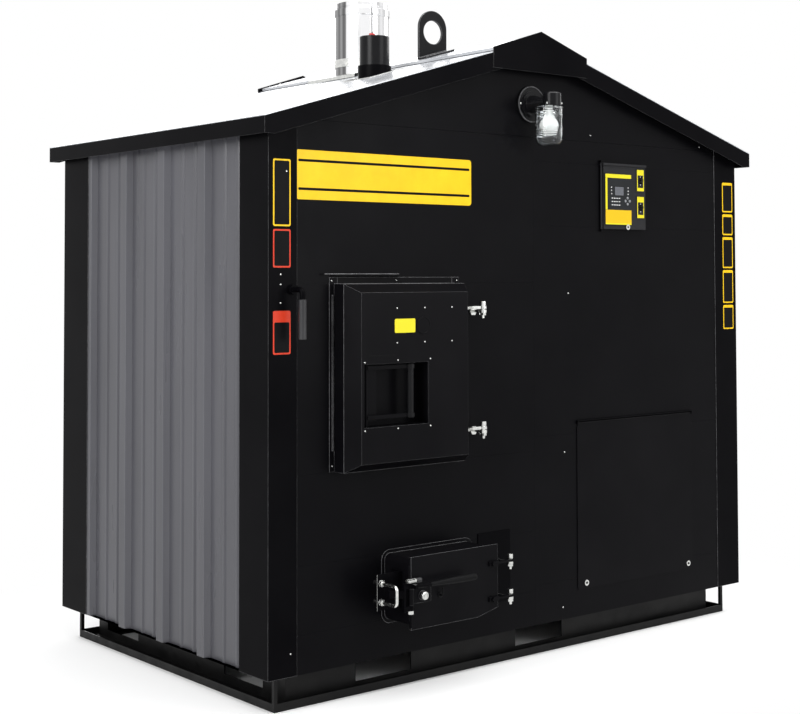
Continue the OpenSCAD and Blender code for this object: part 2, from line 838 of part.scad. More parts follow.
// Curb round the filling opening and the lugs of its lid
module fill_curb() {
  h = 14;
  t = sheet_t;
  x0 = fill_x - fill_w / 2;
  x1 = fill_x + fill_w / 2;
  y0 = fill_y - fill_w / 2;
  y1 = fill_y + fill_w / 2;
  difference() {
    front_prism(y0 - t, y1 + t) slope_section(x0 - t, x1 + t, h, h);
    block(x0, x1, y0, y1, eave_z - 10, ridge_z + h);
  }
  difference() {
    for (y = [lid_y0 + 1, lid_y1 - 9]) front_prism(y, y + 8) intersection() {
      slope_section(lid_pin_x - 5, lid_pin_x + 5, 14, 14);
      rect(lid_pin_x - 5, lid_pin_x + 5, eave_z, ridge_z + h);
    }
    rod_y(lid_y0, lid_y1, lid_pin_x, lid_pin_z, lid_pin_r + run);
  }
}

// Vent pipe, capped by a plate with the rod's bush
rod_r = 2.5;
rod_x0 = vent_x - 10;
vent_t = 4;
bush_h = 12;
bush_r = 11;
float_drop = 330;
module vent_pipe() color("#1c1c1e") {
  difference() {
    union() {
      rod_z(boiler_z1, vent_top, vent_x, vent_y, vent_r);
      rod_z(vent_top, vent_top + bush_h, rod_x0, vent_y, bush_r);
    }
    rod_z(boiler_z1 - 1, vent_top - vent_t, vent_x, vent_y, vent_r - vent_t);
    rod_z(vent_top - vent_t - 1, vent_top + bush_h + 1, rod_x0, vent_y, rod_r + run);
  }
}

// Float with the rod that shows the water level
module float_rod() color("#b9bcc0") {
  float_r = vent_r - vent_t - 16;
  float_z = vent_top - float_drop;
  rod_z(float_z, vent_top + float_rod_show, rod_x0, vent_y, rod_r);
  translate([rod_x0, vent_y, float_z]) sphere(float_r);
}

// Lamp: wall plate, arm and the cup that holds bulb and jar
module lamp_base() color("#101012") {
  plate_t = 8;
  hub_t = 6;
  y = skin_y;
  rod_y(y - plate_t, y, lamp_x, lamp_z, lamp_plate_r);
  rod_y(y - plate_t - hub_t, y - plate_t, lamp_x, lamp_z, lamp_plate_r - 18);
  difference() {
    union() {
      translate([lamp_x, y - plate_t - hub_t, lamp_z]) rotate([90, 0, 0])
        cylinder(h = lamp_reach - plate_t - hub_t - cup_r + 5, r1 = 32, r2 = 13);
      rod_z(cup_z0, cup_z1 - cup_edge, cup_x, lamp_y, cup_r);
      translate([cup_x, lamp_y, cup_z1 - cup_edge]) cylinder(h = cup_edge, r1 = cup_r, r2 = cup_r - cup_edge);
    }
    rod_z(cup_z0 - 1, cup_z1 - cup_edge - cup_t, cup_x, lamp_y, cup_r - cup_t);
  }
}

// Frosted bulb with its screw base up in the cup
module lamp_bulb() color("#f3f3ee") {
  bulb_r = 32;
  base_r = 13;
  centre = jar_z0 + 44;
  top = cup_z1 - cup_edge - cup_t - seat;
  translate([jar_x, jar_y, centre]) sphere(bulb_r);
  translate([jar_x, jar_y, centre + 16]) cylinder(h = 40, r1 = 27.7, r2 = base_r + 2);
  rod_z(centre + 56, top, jar_x, jar_y, base_r);
}

// Glass jar with ribs round it, screwed into the cup
module lamp_jar() color([0.85, 0.92, 0.95, 0.4]) {
  wall = 3;
  neck_r = cup_r - cup_t - seat - jar_shift;
  neck_top = cup_z1 - 14;
  shoulder = cup_z0 - 3;
  ring_h = 3;
  translate([jar_x, jar_y, 0]) rotate_extrude($fn = 64) difference() {
    union() {
      rect(0, neck_r, shoulder - 6, neck_top);
      polygon([[0, jar_z0], [jar_r - 10, jar_z0], [jar_r - 2, jar_z0 + 8],
        [jar_r - 2, shoulder - 8], [neck_r, shoulder], [0, shoulder]]);
      for (z = [jar_z0 + 16, jar_z0 + 26, jar_z0 + 36, shoulder - 16, shoulder - 24, shoulder - 32])
        rect(0, jar_r, z, z + ring_h);
    }
    rect(-1, neck_r - wall, shoulder - 20, neck_top + 1);
    polygon([[-1, jar_z0 + wall], [jar_r - 13, jar_z0 + wall], [jar_r - 2 - wall, jar_z0 + 10],
      [jar_r - 2 - wall, shoulder - 11], [neck_r - wall, shoulder - 3], [-1, shoulder - 3]]);
  }
}

// Pan-head screws: places on the front sheet, on the trims and on the roof
screw_r = 5;
screw_h = 3;
front_screws = [[281, eave_z + 23], [872, eave_z + 14], [165, 1228], [142, 680], [130, 150]];
trim_screws = [[79, 176], [64, 1602], [43, 1295], [43, 1265], [43, 1210]];
frame_screws = [[-252, 294], [-1, 294], [250, 294], [-250, -267]];
// On the roof: shares of the half width and of the half depth
roof_screws = [[0.843, -0.722], [0.88, 0.972], [0.5, 0.972], [0.464, -0.921]];
cap_screws = [[119, -0.18], [125, 0.977]];
module roof_screw(x, share, lift) {
  mirror([1, 0, 0]) difference() {
    rod_z(roof_z(x) + lift - screw_r, roof_z(x) + lift + screw_h + 1, x, share * eave_y, screw_r);
    front_prism(-eave_y, eave_y) slope_section(0, eave_x, lift, 60);
  }
}
module cabinet_screws() color("#b9bcc0") {
  for (p = front_screws) rod_y(skin_y - screw_h, skin_y, p[0], p[1], screw_r);
  for (p = trim_screws) rod_y(front_y - screw_h, front_y, p[0] - side_x, p[1], screw_r);
  for (p = frame_screws)
    rod_y(skin_y - sheet_t - screw_h, skin_y - sheet_t, fire_x + p[0], fire_z + p[1], screw_r - 1);
  for (p = cap_screws) roof_screw(p[0], p[1], cap_lift);
  roof_screw(0.375 * eave_x, -0.156, 0);
  both_x() for (p = roof_screws) roof_screw(p[0] * eave_x, p[1], 0);
}

// Frame of the fire door: collar, rim lip and flange
module fire_door_frame() color("#151517") {
  x0 = fire_x0 - 1;
  x1 = fire_x1 + 1;
  z0 = fire_z0 - 1;
  z1 = fire_z1 + 1;
  difference() {
    union() {
      block(x0, x1, fire_rim_y, boiler_y0, z0, z1);
      block(x0 - flange_w, x1 + flange_w, skin_y - sheet_t, skin_y, z0, z1 + flange_top);
      block(x0 - 8, x0 - 4, skin_y - sheet_t - 5, skin_y, z0 + 64, z1 - 34);
    }
    block(x0 + collar_lip, x1 - collar_lip, fire_rim_y - 1, boiler_y0, z0 + collar_lip, z1 - collar_lip);
    block(x0 + collar_t, x1 - collar_t, fire_rim_y + lip_t, boiler_y0 + 1, z0 + collar_t, z1 - collar_t);
    seams([x0 + collar_lip, x1 - collar_lip - seat], [], 0, 0,
      fire_rim_y - 1, boiler_y0 + 1, z0 - 1, z1 + flange_top + 1);
  }
}

// Outlines of the bevelled casing from the top and the end
module casing_top_outline(in) {
  slope = bevel_x / fire_t;
  y0 = fire_face_y + in;
  polygon([[fire_x0 + in, fire_rim_y], [fire_x1 - in, fire_rim_y],
    [fire_x1 - in - slope * (fire_rim_y - y0), y0], [fire_x0 + in + slope * (fire_rim_y - y0), y0]]);
}
module casing_end_outline(in) {
  slope = bevel_z / fire_t;
  y0 = fire_face_y + in;
  polygon([[fire_rim_y, fire_z0 + in], [fire_rim_y, fire_z1 - in],
    [y0, fire_z1 - in - slope * (fire_rim_y - y0)], [y0, fire_z0 + in + slope * (fire_rim_y - y0)]]);
}
module casing_form(in) {
  intersection() {
    top_prism(fire_z0 + in, fire_z1 - in) casing_top_outline(in);
    side_prism(fire_x0 + in, fire_x1 - in) casing_end_outline(in);
  }
}
module pocket_form(out, deep) {
  block(pocket_x0 - out, pocket_x1 + out, fire_face_y - 1, pocket_y + deep, pocket_z0 - out, pocket_z1 + out);
}
module nose_slot(grow) {
  top_prism(latch_mid_z - nose_h / 2 - grow, latch_mid_z + nose_h / 2 + grow)
    rect(fire_open_x0 + grow / 2, latch_x - nose_root + 4, latch_y + 9, fire_rim_y + plug_depth + 1);
}

// Bevelled steel casing with the walls of the handle pocket
module fire_door_casing() color("#161618") {
  difference() {
    union() {
      difference() {
        casing_form(0);
        casing_form(casing_t);
        block(fire_x0 + casing_t, fire_x1 - casing_t, fire_rim_y - 1, fire_rim_y + 1,
          fire_z0 + casing_t, fire_z1 - casing_t);
      }
      difference() {
        block(pocket_x0 - pocket_t, pocket_x1 + pocket_t, fire_face_y + casing_t + seat, pocket_y + pocket_t,
          pocket_z0 - pocket_t, pocket_z1 + pocket_t);
        pocket_form(0, 0);
        nose_slot(nose_room);
        block(pocket_x0 - pocket_t - 1, pocket_x1 + pocket_t + 1, pocket_y - seat, pocket_y,
          pocket_z0 - pocket_t - 1, pocket_z1 + pocket_t + 1);
        seams([pocket_x0, pocket_x1 - seat], [], 0, 0,
          fire_face_y, pocket_y, pocket_z0 - pocket_t - 1, pocket_z1 + pocket_t + 1);
      }
    }
    block(pocket_x0, pocket_x1, fire_face_y - 1, pocket_y, pocket_z0, pocket_z1);
    rod_z(pocket_z0 - 12, pocket_z1 + 12, latch_x, latch_y, latch_pin_r + run);
  }
}

// Insulation and refractory plug carried by the casing
module fire_door_plug() color("#8c867a") {
  x0 = fire_x0 - 1 + collar_lip + plug_gap;
  x1 = fire_x1 + 1 - collar_lip - plug_gap;
  z0 = fire_z0 - 1 + collar_lip + plug_gap;
  z1 = fire_z1 + 1 - collar_lip - plug_gap;
  difference() {
    union() {
      intersection() {
        casing_form(casing_t);
        block(fire_x0, fire_x1, fire_face_y, gasket_y - 3, fire_z0, fire_z1);
      }
      block(x0, x1, gasket_y - 3, fire_rim_y + plug_depth, z0, z1);
    }
    pocket_form(pocket_t, pocket_t);
    block(latch_x - 10, latch_x + 10, fire_face_y, latch_y + 10, pocket_z0 - 14, pocket_z1 + 14);
    nose_slot(nose_room);
    seams([pocket_x0 - pocket_t, pocket_x1 + pocket_t - seat], [], 0, 0,
      fire_face_y, pocket_y + pocket_t, fire_z0, fire_z1);
    block(fire_x0, fire_x1, pocket_y + pocket_t - seat, pocket_y + pocket_t, fire_z0, fire_z1);
  }
}

// Square-section rope seal in the casing's channel
module fire_door_gasket() color("#b9b6ad") {
  out = casing_t + gasket_t * bevel_x / fire_t + seat;
  in = collar_lip + plug_gap - 1 - seat;
  front_prism(gasket_y, fire_rim_y - seat) difference() {
    rect(fire_x0 + out, fire_x1 - out, fire_z0 + out, fire_z1 - out);
    rect(fire_x0 + in, fire_x1 - in, fire_z0 + in, fire_z1 - in);
  }
}

// Heights of the hinges of both doors
fire_hinges = [fire_z + fire_hinge_up, fire_z - fire_hinge_down];
ash_hinges = [ash_z + ash_hinge_half - 10, ash_z - ash_hinge_half - 10];

// Hinge arms of the fire door
module fire_hinge_arms() color("#c3c6ca") {
  foot_y = fire_pin_y - fire_t * 0.7;
  foot_x = fire_x1 - bevel_x * 0.7;
  neck_x = fire_x1 + fire_hinge_gap * 0.4;
  for (z = fire_hinges) difference() {
    union() {
      top_prism(z + free, z + free + eye_h) difference() {
        polygon([[fire_pin_x, fire_pin_y - arm_half], [fire_pin_x, fire_pin_y + arm_half],
          [fire_x1 + 2, fire_pin_y + arm_half], [fire_x1 + 2, fire_pin_y],
          [foot_x, foot_y], [neck_x, fire_pin_y - arm_half]]);
        casing_top_outline(0);
      }
      rod_z(z + free, z + free + eye_h, fire_pin_x, fire_pin_y, eye_r);
    }
    rod_z(z, z + free + eye_h + 1, fire_pin_x, fire_pin_y, fire_pin_r + run);
  }
}

// Fixed halves of the hinges
module hinge_mounts() color("#a9adb2") {
  nut_r = 15;
  for (z = fire_hinges) difference() {
    union() {
      rod_z(z - free - eye_h, z - free, fire_pin_x, fire_pin_y, eye_r);
      rod_y(fire_pin_y, skin_y, fire_pin_x, z - free - eye_h / 2, eye_h / 2);
      rod_y(skin_y - 7, skin_y, fire_pin_x, z - free - eye_h / 2, nut_r, $fn = 6);
    }
    rod_z(z - free - eye_h - 1, z, fire_pin_x, fire_pin_y, fire_pin_r + run);
  }
  difference() {
    union() {
      block(ash_pin_x - 27, ash_pin_x + 115, skin_y - sheet_t, skin_y, ash_z0 - 4, ash_z1 + 9);
      for (z = ash_hinges) {
        block(ash_pin_x - 6, ash_pin_x + 6, ash_pin_y, skin_y - sheet_t, z - free - ash_eye_h, z - free);
        rod_z(z - free - ash_eye_h, z - free, ash_pin_x, ash_pin_y, ash_eye_r);
      }
    }
    for (z = ash_hinges) rod_z(z - free - ash_eye_h - 1, z, ash_pin_x, ash_pin_y, ash_pin_r + run);
  }
}

// A hinge bolt: head, nut and bolt end
bolt_head = 15;
bolt_nut = 8;
bolt_end = 9;
module hinge_bolt(x, y, z, r, h) {
  low = z - free - h - seat;
  high = z + free + h + seat;
  rod_z(low - bolt_nut - bolt_end, high + 1, x, y, r);
  rod_z(high, high + bolt_head, x, y, r * 1.8, $fn = 24);
  translate([x, y, low - bolt_nut]) cylinder(h = bolt_nut, r = r * 1.9, $fn = 6);
}
module hinge_pins() color("#d4d7da") {
  for (z = fire_hinges) hinge_bolt(fire_pin_x, fire_pin_y, z, fire_pin_r, eye_h);
  for (z = ash_hinges) hinge_bolt(ash_pin_x, ash_pin_y, z, ash_pin_r, ash_eye_h);
}

// Handle of the fire door with the nose behind the rim
module fire_latch_handle() color("#6a6d70") {
  grip_r = 12;
  grip_half = 83;
  mid = latch_mid_z + 8;
  arm_z = 6;
  plate_half = 80;
  plate_y = latch_y + 7;
  tip_x = latch_x - nose_reach;
  tip_y = fire_rim_y + lip_t + 8;
  rod_z(pocket_z0 - 2, pocket_z1 + 2, latch_x, latch_y, latch_pin_r);
  rod_z(mid - grip_half, mid + grip_half, grip_x, grip_y, grip_r);
  for (s = [-1, 1]) {
    z = mid + s * (grip_half - 8);
    rod_z(z - arm_z, z + arm_z, grip_x, grip_y, grip_r + 3);
    block(latch_x, grip_x, latch_y - 8, latch_y, z - arm_z, z + arm_z);
  }
  block(latch_x - 14, latch_x + 42, plate_y - 3, plate_y, latch_mid_z - plate_half, latch_mid_z + plate_half);
  block(latch_x - 4, latch_x + 4, latch_y, plate_y, latch_mid_z - plate_half, latch_mid_z + plate_half);
  top_prism(latch_mid_z - nose_h / 2, latch_mid_z + nose_h / 2) polygon([
    [latch_x - nose_root, plate_y - 1], [latch_x - nose_root - 16, plate_y - 1],
    [latch_x - nose_root - 36, tip_y], [tip_x, tip_y], [tip_x, tip_y + 8], [latch_x - nose_root - 22, tip_y + 8]
  ]);
}

// Round-cornered collar of the ash door
module ash_door_frame() color("#151517") {
  x0 = ash_x0 + ash_lap_x;
  x1 = ash_x1 - ash_lap_x + 1;
  z0 = ash_z0 + ash_lap_z;
  z1 = ash_z1 - ash_lap_z + 1;
  f = 12;
  difference() {
    union() {
      front_prism(ash_rim_y, boiler_y0) round_rect(x0, x1, z0, z1, ash_corner_r);
      front_prism(skin_y - sheet_t, skin_y) round_rect(x0 - f, x1 + f, z0 - f, z1 + f, ash_corner_r + f);
    }
    front_prism(ash_rim_y - 1, boiler_y0 + 1)
      round_rect(x0 + collar_t, x1 - collar_t, z0 + collar_t, z1 - collar_t, ash_corner_r - collar_t);
  }
}

// Keeper plate with its U-shaped bolt
module ash_keeper() color("#c3c6ca") {
  plate_x0 = bolt_x - 16;
  plate_x1 = ash_x0 + ash_lap_x - seat;
  bend_y = ash_face_y - 30;
  mid = (bolt_z0 + bolt_z1) / 2;
  half = (bolt_z1 - bolt_z0) / 2;
  difference() {
    block(plate_x0, plate_x1, keeper_y, keeper_y + keeper_t, bolt_z0 - 24, bolt_z1 + 28);
    block(ash_latch_x - catch_reach + 8, plate_x1 - keeper_t, keeper_y - 1, keeper_y + keeper_t + 1,
      catch_z0 - 3, catch_z1 + 3);
  }
  block(plate_x1 - keeper_t, plate_x1, keeper_y, keeper_y + 50, bolt_z0 - 24, bolt_z1 + 28);
  for (z = [bolt_z0, bolt_z1]) {
    rod_y(bend_y + 12, keeper_y + keeper_t + 30, bolt_x, z, bolt_r);
    rod_y(keeper_y - 8, keeper_y, bolt_x, z, bolt_r + 5, $fn = 6);
    rod_y(keeper_y + keeper_t, keeper_y + keeper_t + 8, bolt_x, z, bolt_r + 5, $fn = 6);
  }
  for (s = [-1, 1]) translate([bolt_x, bend_y + 12, mid + s * (half - 12)])
    rotate([0, 90, 0]) rotate([0, 0, s > 0 ? 180 : -90])
      rotate_extrude(angle = 90, $fn = 32) translate([12, 0]) circle(bolt_r);
  rod_z(mid - half + 12, mid + half - 12, bolt_x, bend_y, bolt_r);
}

// Ash door: flat plate with the strap that carries the latch
module ash_door_plate() color("#161618") {
  difference() {
    union() {
      front_prism(ash_face_y, ash_back_y) polygon([
        [ash_x0, ash_z1], [ash_x0, ash_z0], [ash_x1 - 84, ash_z0], [ash_x1, ash_z0 + 20], [ash_x1, ash_z1]
      ]);
      block(ash_latch_x, ash_x0 + 74, ash_face_y - strap_t, ash_face_y, knuckle_z0, knuckle_z1);
      rod_z(knuckle_z0, knuckle_z1, ash_latch_x, ash_latch_y, knuckle_r);
      block(ash_latch_x, ash_latch_x + knuckle_r, ash_latch_y, ash_face_y, knuckle_z0, knuckle_z1);
      rod_y(ash_face_y - strap_t - 9, ash_face_y - strap_t, ash_x0 + 40, ash_z - 8, 14);
    }
    rod_z(knuckle_z0 - 1, knuckle_z1 + 1, ash_latch_x, ash_latch_y, latch_pin_r + run);
  }
}

// Inner plug of the ash door with its seal
module ash_door_plug() color("#8c867a") {
  gap = 9;
  x0 = ash_in_x0 + gap;
  x1 = ash_in_x1 - gap;
  z0 = ash_in_z0 + gap;
  z1 = ash_in_z1 - gap;
  front_prism(ash_back_y, ash_back_y + ash_plug) round_rect(x0, x1, z0, z1, 10);
  front_prism(ash_back_y, ash_rim_y - seat)
    round_rect(ash_in_x0 - 4, ash_in_x1 + 4, ash_in_z0 - 4, ash_in_z1 + 4, 14);
}

// Hinge arms bolted to the ash door's face
module ash_hinge_arms() color("#c3c6ca") {
  arm_t = 6;
  for (z = ash_hinges) difference() {
    union() {
      block(ash_x1 - 40, ash_x1 + free, ash_face_y - arm_t, ash_face_y, z + free - 4, z + free + ash_eye_h + 4);
      block(ash_x1 + free, ash_pin_x, ash_face_y - arm_t, ash_face_y + 4, z + free, z + free + ash_eye_h);
      block(ash_pin_x - 7, ash_pin_x + 7, ash_face_y - arm_t, ash_pin_y, z + free, z + free + ash_eye_h);
      rod_z(z + free, z + free + ash_eye_h, ash_pin_x, ash_pin_y, ash_eye_r);
      rod_y(ash_face_y - arm_t - 7, ash_face_y - arm_t, ash_x1 - 24, z + free + ash_eye_h / 2, 9, $fn = 6);
    }
    rod_z(z, z + free + ash_eye_h + 1, ash_pin_x, ash_pin_y, ash_pin_r + run);
  }
}

// Latch of the ash door: pin, catch and long handle
module ash_latch_handle() color("#bfc2c6") {
  lug_h = 16;
  nut_h = 10;
  tail = 42;
  cone_x = ash_latch_x + 57;
  grip_x0 = cone_x + 100;
  grip_x1 = grip_x0 + 75;
  handle_r = 11;
  web_x = ash_latch_x - 24;
  rise = 26;
  low_z = knuckle_z0 - free - lug_h;
  high_z = knuckle_z1 + free;
  handle_z = high_z + lug_h / 2;
  handle_y = ash_latch_y - rise;
  rod_z(low_z - 4, high_z + lug_h + 1, ash_latch_x, ash_latch_y, latch_pin_r);
  rod_x(ash_latch_x - 15, ash_latch_x + 19, ash_latch_y, high_z + lug_h + 4, 8, $fn = 6);
  rod_x(ash_latch_x + 18, ash_latch_x + 39, ash_latch_y, high_z + lug_h + 4, 7.5);
  translate([ash_latch_x, ash_latch_y, low_z - nut_h]) cylinder(h = nut_h, r = 9, $fn = 6);
  rod_z(low_z - nut_h - tail, low_z - nut_h + 1, ash_latch_x, ash_latch_y, latch_pin_r - 1);
  for (z = [low_z, high_z]) {
    rod_z(z, z + lug_h, ash_latch_x, ash_latch_y, knuckle_r);
    block(web_x, ash_latch_x, ash_latch_y - 6, ash_latch_y + 6, z, z + lug_h);
  }
  block(web_x - 6, web_x, ash_latch_y - 6, ash_latch_y + 6, low_z, high_z + lug_h);
  top_prism(catch_z0, catch_z1) polygon([
    [web_x, ash_latch_y + 6], [web_x - 6, ash_latch_y - 4],
    [ash_latch_x - catch_reach, ash_latch_y + 26], [ash_latch_x - catch_reach, ash_latch_y + 34]
  ]);
  block(ash_latch_x - 5, ash_latch_x + 5, handle_y - 5, ash_latch_y, handle_z - 6, handle_z + 6);
  rod_x(ash_latch_x, cone_x + 1, handle_y, handle_z, 5);
  translate([cone_x, handle_y, handle_z]) rotate([0, 90, 0]) cylinder(h = grip_x0 - cone_x, r1 = 6, r2 = handle_r);
  rod_x(grip_x0, grip_x1, handle_y, handle_z, handle_r);
  translate([grip_x1, handle_y, handle_z]) sphere(handle_r);
}

// Lever with its bent shaft, grip and inner crank
lever_shaft_r = 8;
lever_out = 54;
lever_bend = 16;
lever_grip = 117;
crank = 50;
module bypass_lever() color("#1c1c1e") {
  y = front_y - lever_out;
  shaft_end = skin_in + 70;
  rod_y(y + lever_bend, shaft_end, lever_x, lever_z, lever_shaft_r);
  translate([lever_x, y + lever_bend, lever_z - lever_bend]) rotate([0, 90, 0]) rotate([0, 0, 180])
    rotate_extrude(angle = 90) translate([lever_bend, 0]) circle(lever_shaft_r);
  rod_z(lever_z - lever_len + lever_grip - 1, lever_z - lever_bend, lever_x, y, lever_shaft_r);
  rod_z(lever_z - lever_len, lever_z - lever_len + lever_grip, lever_x, y, lever_shaft_r + 4);
  rod_y(front_y - 12, front_y - free, lever_x, lever_z, lever_shaft_r + 7);
  block(lever_x - 6, lever_x + 6, shaft_end - 8, shaft_end, lever_z, lever_z + crank);
}

// Lift-up hatch with its hinge barrel
module access_hatch() color("#18181b") {
  x0 = hatch_x0 + 4;
  x1 = hatch_x1 - 4;
  corner = 12;
  difference() {
    union() {
      block(hatch_x0, hatch_x1, hatch_y, hatch_back, hatch_z0, hatch_z1 - corner);
      block(x0, x1, hatch_y, hatch_back, hatch_z1 - corner - 1, hatch_pin_z);
      rod_x(x0, x1, hatch_pin_y, hatch_pin_z, hatch_barrel_r);
      rod_x(hatch_x0 - 1.5, hatch_x1 + 1.5, hatch_pin_y, hatch_pin_z, hatch_pin_r);
      for (x = [hatch_open[0] + 3, hatch_open[1] - 6])
        block(x, x + sheet_t, hatch_back, hatch_back + 12, hatch_open[2] + 4, hatch_open[3] - 40);
    }
    for (x = hatch_lock_x)
      rod_y(hatch_y - 1, hatch_back + 1, x, hatch_lock_z, stud_r + run);
  }
}

// Quarter-turn lock: slotted head, stud and cross pin
module quarter_turn(x, z, face_y, pin_y) {
  difference() {
    rod_y(face_y - 5, face_y - seat, x, z, lock_r);
    block(x - 6, x + 6, face_y - 6, face_y - 3, z - 1.5, z + 1.5);
  }
  rod_y(face_y - 4, pin_y + 4, x, z, stud_r);
  block(x - 10, x + 10, pin_y, pin_y + 4, z - 2, z + 2);
}
module hatch_lock_left() color("#e2e4e6") {
  quarter_turn(hatch_lock_x[0], hatch_lock_z, hatch_y, skin_in + 1);
}
module hatch_lock_right() color("#e2e4e6") {
  quarter_turn(hatch_lock_x[1], hatch_lock_z, hatch_y, skin_in + 1);
}

// Box behind the control panel
module control_box() color("#2a2a2d") {
  out = 12;
  wall = 2;
  deep = 90;
  difference() {
    block(control_x0 - out, control_x1 + out, skin_in, skin_in + deep, control_z0 - out, control_z1 + out);
    block(control_x0 - out + wall, control_x1 + out - wall, skin_in - 1, skin_in + deep - wall,
      control_z0 - out + wall, control_z1 + out - wall);
    block(control_x0 - out - 1, control_x1 + out + 1, skin_in + deep - wall - seat, skin_in + deep - wall,
      control_z0 - out - 1, control_z1 + out + 1);
    seams([control_x0 - out + wall, control_x1 + out - wall - seat], [], 0, 0,
      skin_in - 1, skin_in + deep - wall, control_z0 - out - 1, control_z1 + out + 1);
  }
}

// Hinged control panel
module control_panel() color("#3b3c3f") {
  wall = 2;
  difference() {
    union() {
      difference() {
        block(control_x0, control_x1, control_y, front_y, control_z0, control_z1);
        block(control_x0 + wall, control_x1 - wall, control_y + wall, front_y + 1,
          control_z0 + wall, control_z1 - wall);
      }
      block(keypad_x0, keypad_x0 + keypad_w, control_y - keypad_t, control_y,
        keypad_z0, keypad_z0 + keypad_h);
      for (p = [[switch_up_z, 43], [switch_low_z, 40]])
        block(switch_x - 21, switch_x + 21, control_y - 2, control_y, p[0] - p[1], p[0] + p[1]);
      for (z = [switch_up_z, switch_low_z])
        block(switch_x - 12, switch_x + 12, control_y, control_y + 10, z - 6, z + 6);
      block(control_pin_x - 2, control_x1, control_y - 6, control_y, control_z1 - 8, control_z1);
      rod_z(control_z0, control_z1, control_pin_x, control_pin_y, 3.5);
      block(control_pin_x, control_x0, control_pin_y - 1, control_pin_y + 1, control_z0, control_z1);
      rod_z(control_z0 - 8, control_z1 + 8, control_pin_x, control_pin_y, 1.5);
    }
    for (z = [switch_up_z, switch_low_z])
      block(switch_x - 8.3, switch_x + 8.3, control_y - 3, control_y + 11, z - 15, z + 15);
    for (z = [switch_up_z, switch_low_z]) rod_x(switch_x - 13, switch_x + 13, switch_pin_y, z, 2 + run);
    for (k = key_places) rod_y(control_y - keypad_t - 1, control_y + wall + 1, k[0], k[1], key_r + seat);
    rod_y(control_y - keypad_t - 1, control_y + wall + 1, lock_x, lock_z, stud_r + run);
    block(lock_x - 12, lock_x + 12, control_y - keypad_t - 1, control_y, lock_z - 12, lock_z + 12);
  }
}

// Cam lock of the control panel
module control_lock() color("#e2e4e6") {
  tab_y = skin_in + 1;
  difference() {
    rod_y(control_y - 6, control_y - seat, lock_x, lock_z, lock_r);
    block(lock_x - 5, lock_x + 5, control_y - 7, control_y - 4, lock_z - 1, lock_z + 1);
  }
  rod_y(control_y - 3, tab_y + 3, lock_x, lock_z, stud_r);
  block(lock_x - 14, lock_x + 4, tab_y, tab_y + 3, lock_z - 2.5, lock_z + 2.5);
}

// Toggle switches: drum and paddle
module toggle(z) {
  rod_x(switch_x - 8, switch_x + 8, switch_pin_y, z, 10);
  rod_x(switch_x - 12, switch_x + 12, switch_pin_y, z, 2);
  block(switch_x - 5, switch_x + 5, control_y - 12, switch_pin_y, z - 4, z + 4);
}
module switch_upper() color("#111113") {
  toggle(switch_up_z);
}
module switch_lower() color("#111113") {
  toggle(switch_low_z);
}

// Four keys of the key field
key_places = [for (s = [[0, 1], [0, -1], [-1, 0], [1, 0]]) [pad_x + s[0] * key_step, pad_z + s[1] * key_step]];
module key(i) {
  rod_y(control_y - keypad_t - 1.5, control_y + 1, key_places[i][0], key_places[i][1], key_r);
}
module key_up() color("#c8cbce") {
  key(0);
}
module key_down() color("#c8cbce") {
  key(1);
}
module key_left() color("#c8cbce") {
  key(2);
}
module key_right() color("#c8cbce") {
  key(3);
}

// Box of plates with open seams
module plate_box(x0, x1, y0, y1, z0, z1, t, front, top) {
  in0 = x0 + t + seat;
  in1 = x1 - t - seat;
  in_y = front ? y0 + t + seat : y0;
  for (x = [x0, x1 - t]) block(x, x + t, y0, y1, z0, z1);
  if (front) block(in0, in1, y0, y0 + t, z0, z1);
  block(in0, in1, y1 - t, y1, z0, z1);
  block(in0, in1, in_y, y1 - t - seat, z0, z0 + t);
  if (top) block(in0, in1, in_y, y1 - t - seat, z1 - t, z1);
}

// Boiler shell on short legs
module boiler_shell() color("#4a4b4e") {
  t = boiler_t;
  difference() {
    plate_box(boiler_x0, boiler_x1, boiler_y0, boiler_y1, boiler_z0, boiler_z1, t, true, true);
    block(fire_x0 - 1 + collar_t, fire_x1 + 1 - collar_t, boiler_y0 - 1, boiler_y0 + t + 1,
      fire_z0 - 1 + collar_t, fire_z1 + 1 - collar_t);
    block(ash_in_x0, ash_in_x1, boiler_y0 - 1, boiler_y0 + t + 1, ash_in_z0, ash_in_z1);
    seams([], [fire_z0 - 1 + collar_t, fire_z1 + 1 - collar_t - seat, ash_in_z0, ash_in_z1 - seat],
      boiler_x0 + t + seat / 2, boiler_x1 - t - seat / 2, boiler_y0 - 1, boiler_y0 + t + 0.1, 0, 0);
    rod_z(boiler_z1 - t - 1, boiler_z1 + 1, chimney_x, chimney_y, flue_r);
    rod_z(boiler_z1 - t - 1, boiler_z1 + 1, vent_x, vent_y, vent_r - 4);
    rod_x(boiler_x1 - t - 1, boiler_x1 + 1, auger_y, auger_z, tube_in + auger_tube_t + seat);
    for (i = [0, 1]) rod_y(boiler_y1 - t - 1, boiler_y1 + 1, port_x[i], port_z[i], port_bore_r);
    rod_x(boiler_x1 - t - 1, boiler_x1 + 1, pot_y, air_z, air_r + seat);
  }
  for (x = [boiler_x0 + 40, boiler_x1 - 100], y = [boiler_y0 + 60, boiler_y1 - 120])
    block(x, x + 60, y, y + 60, pan_top, boiler_z0 - seat);
}

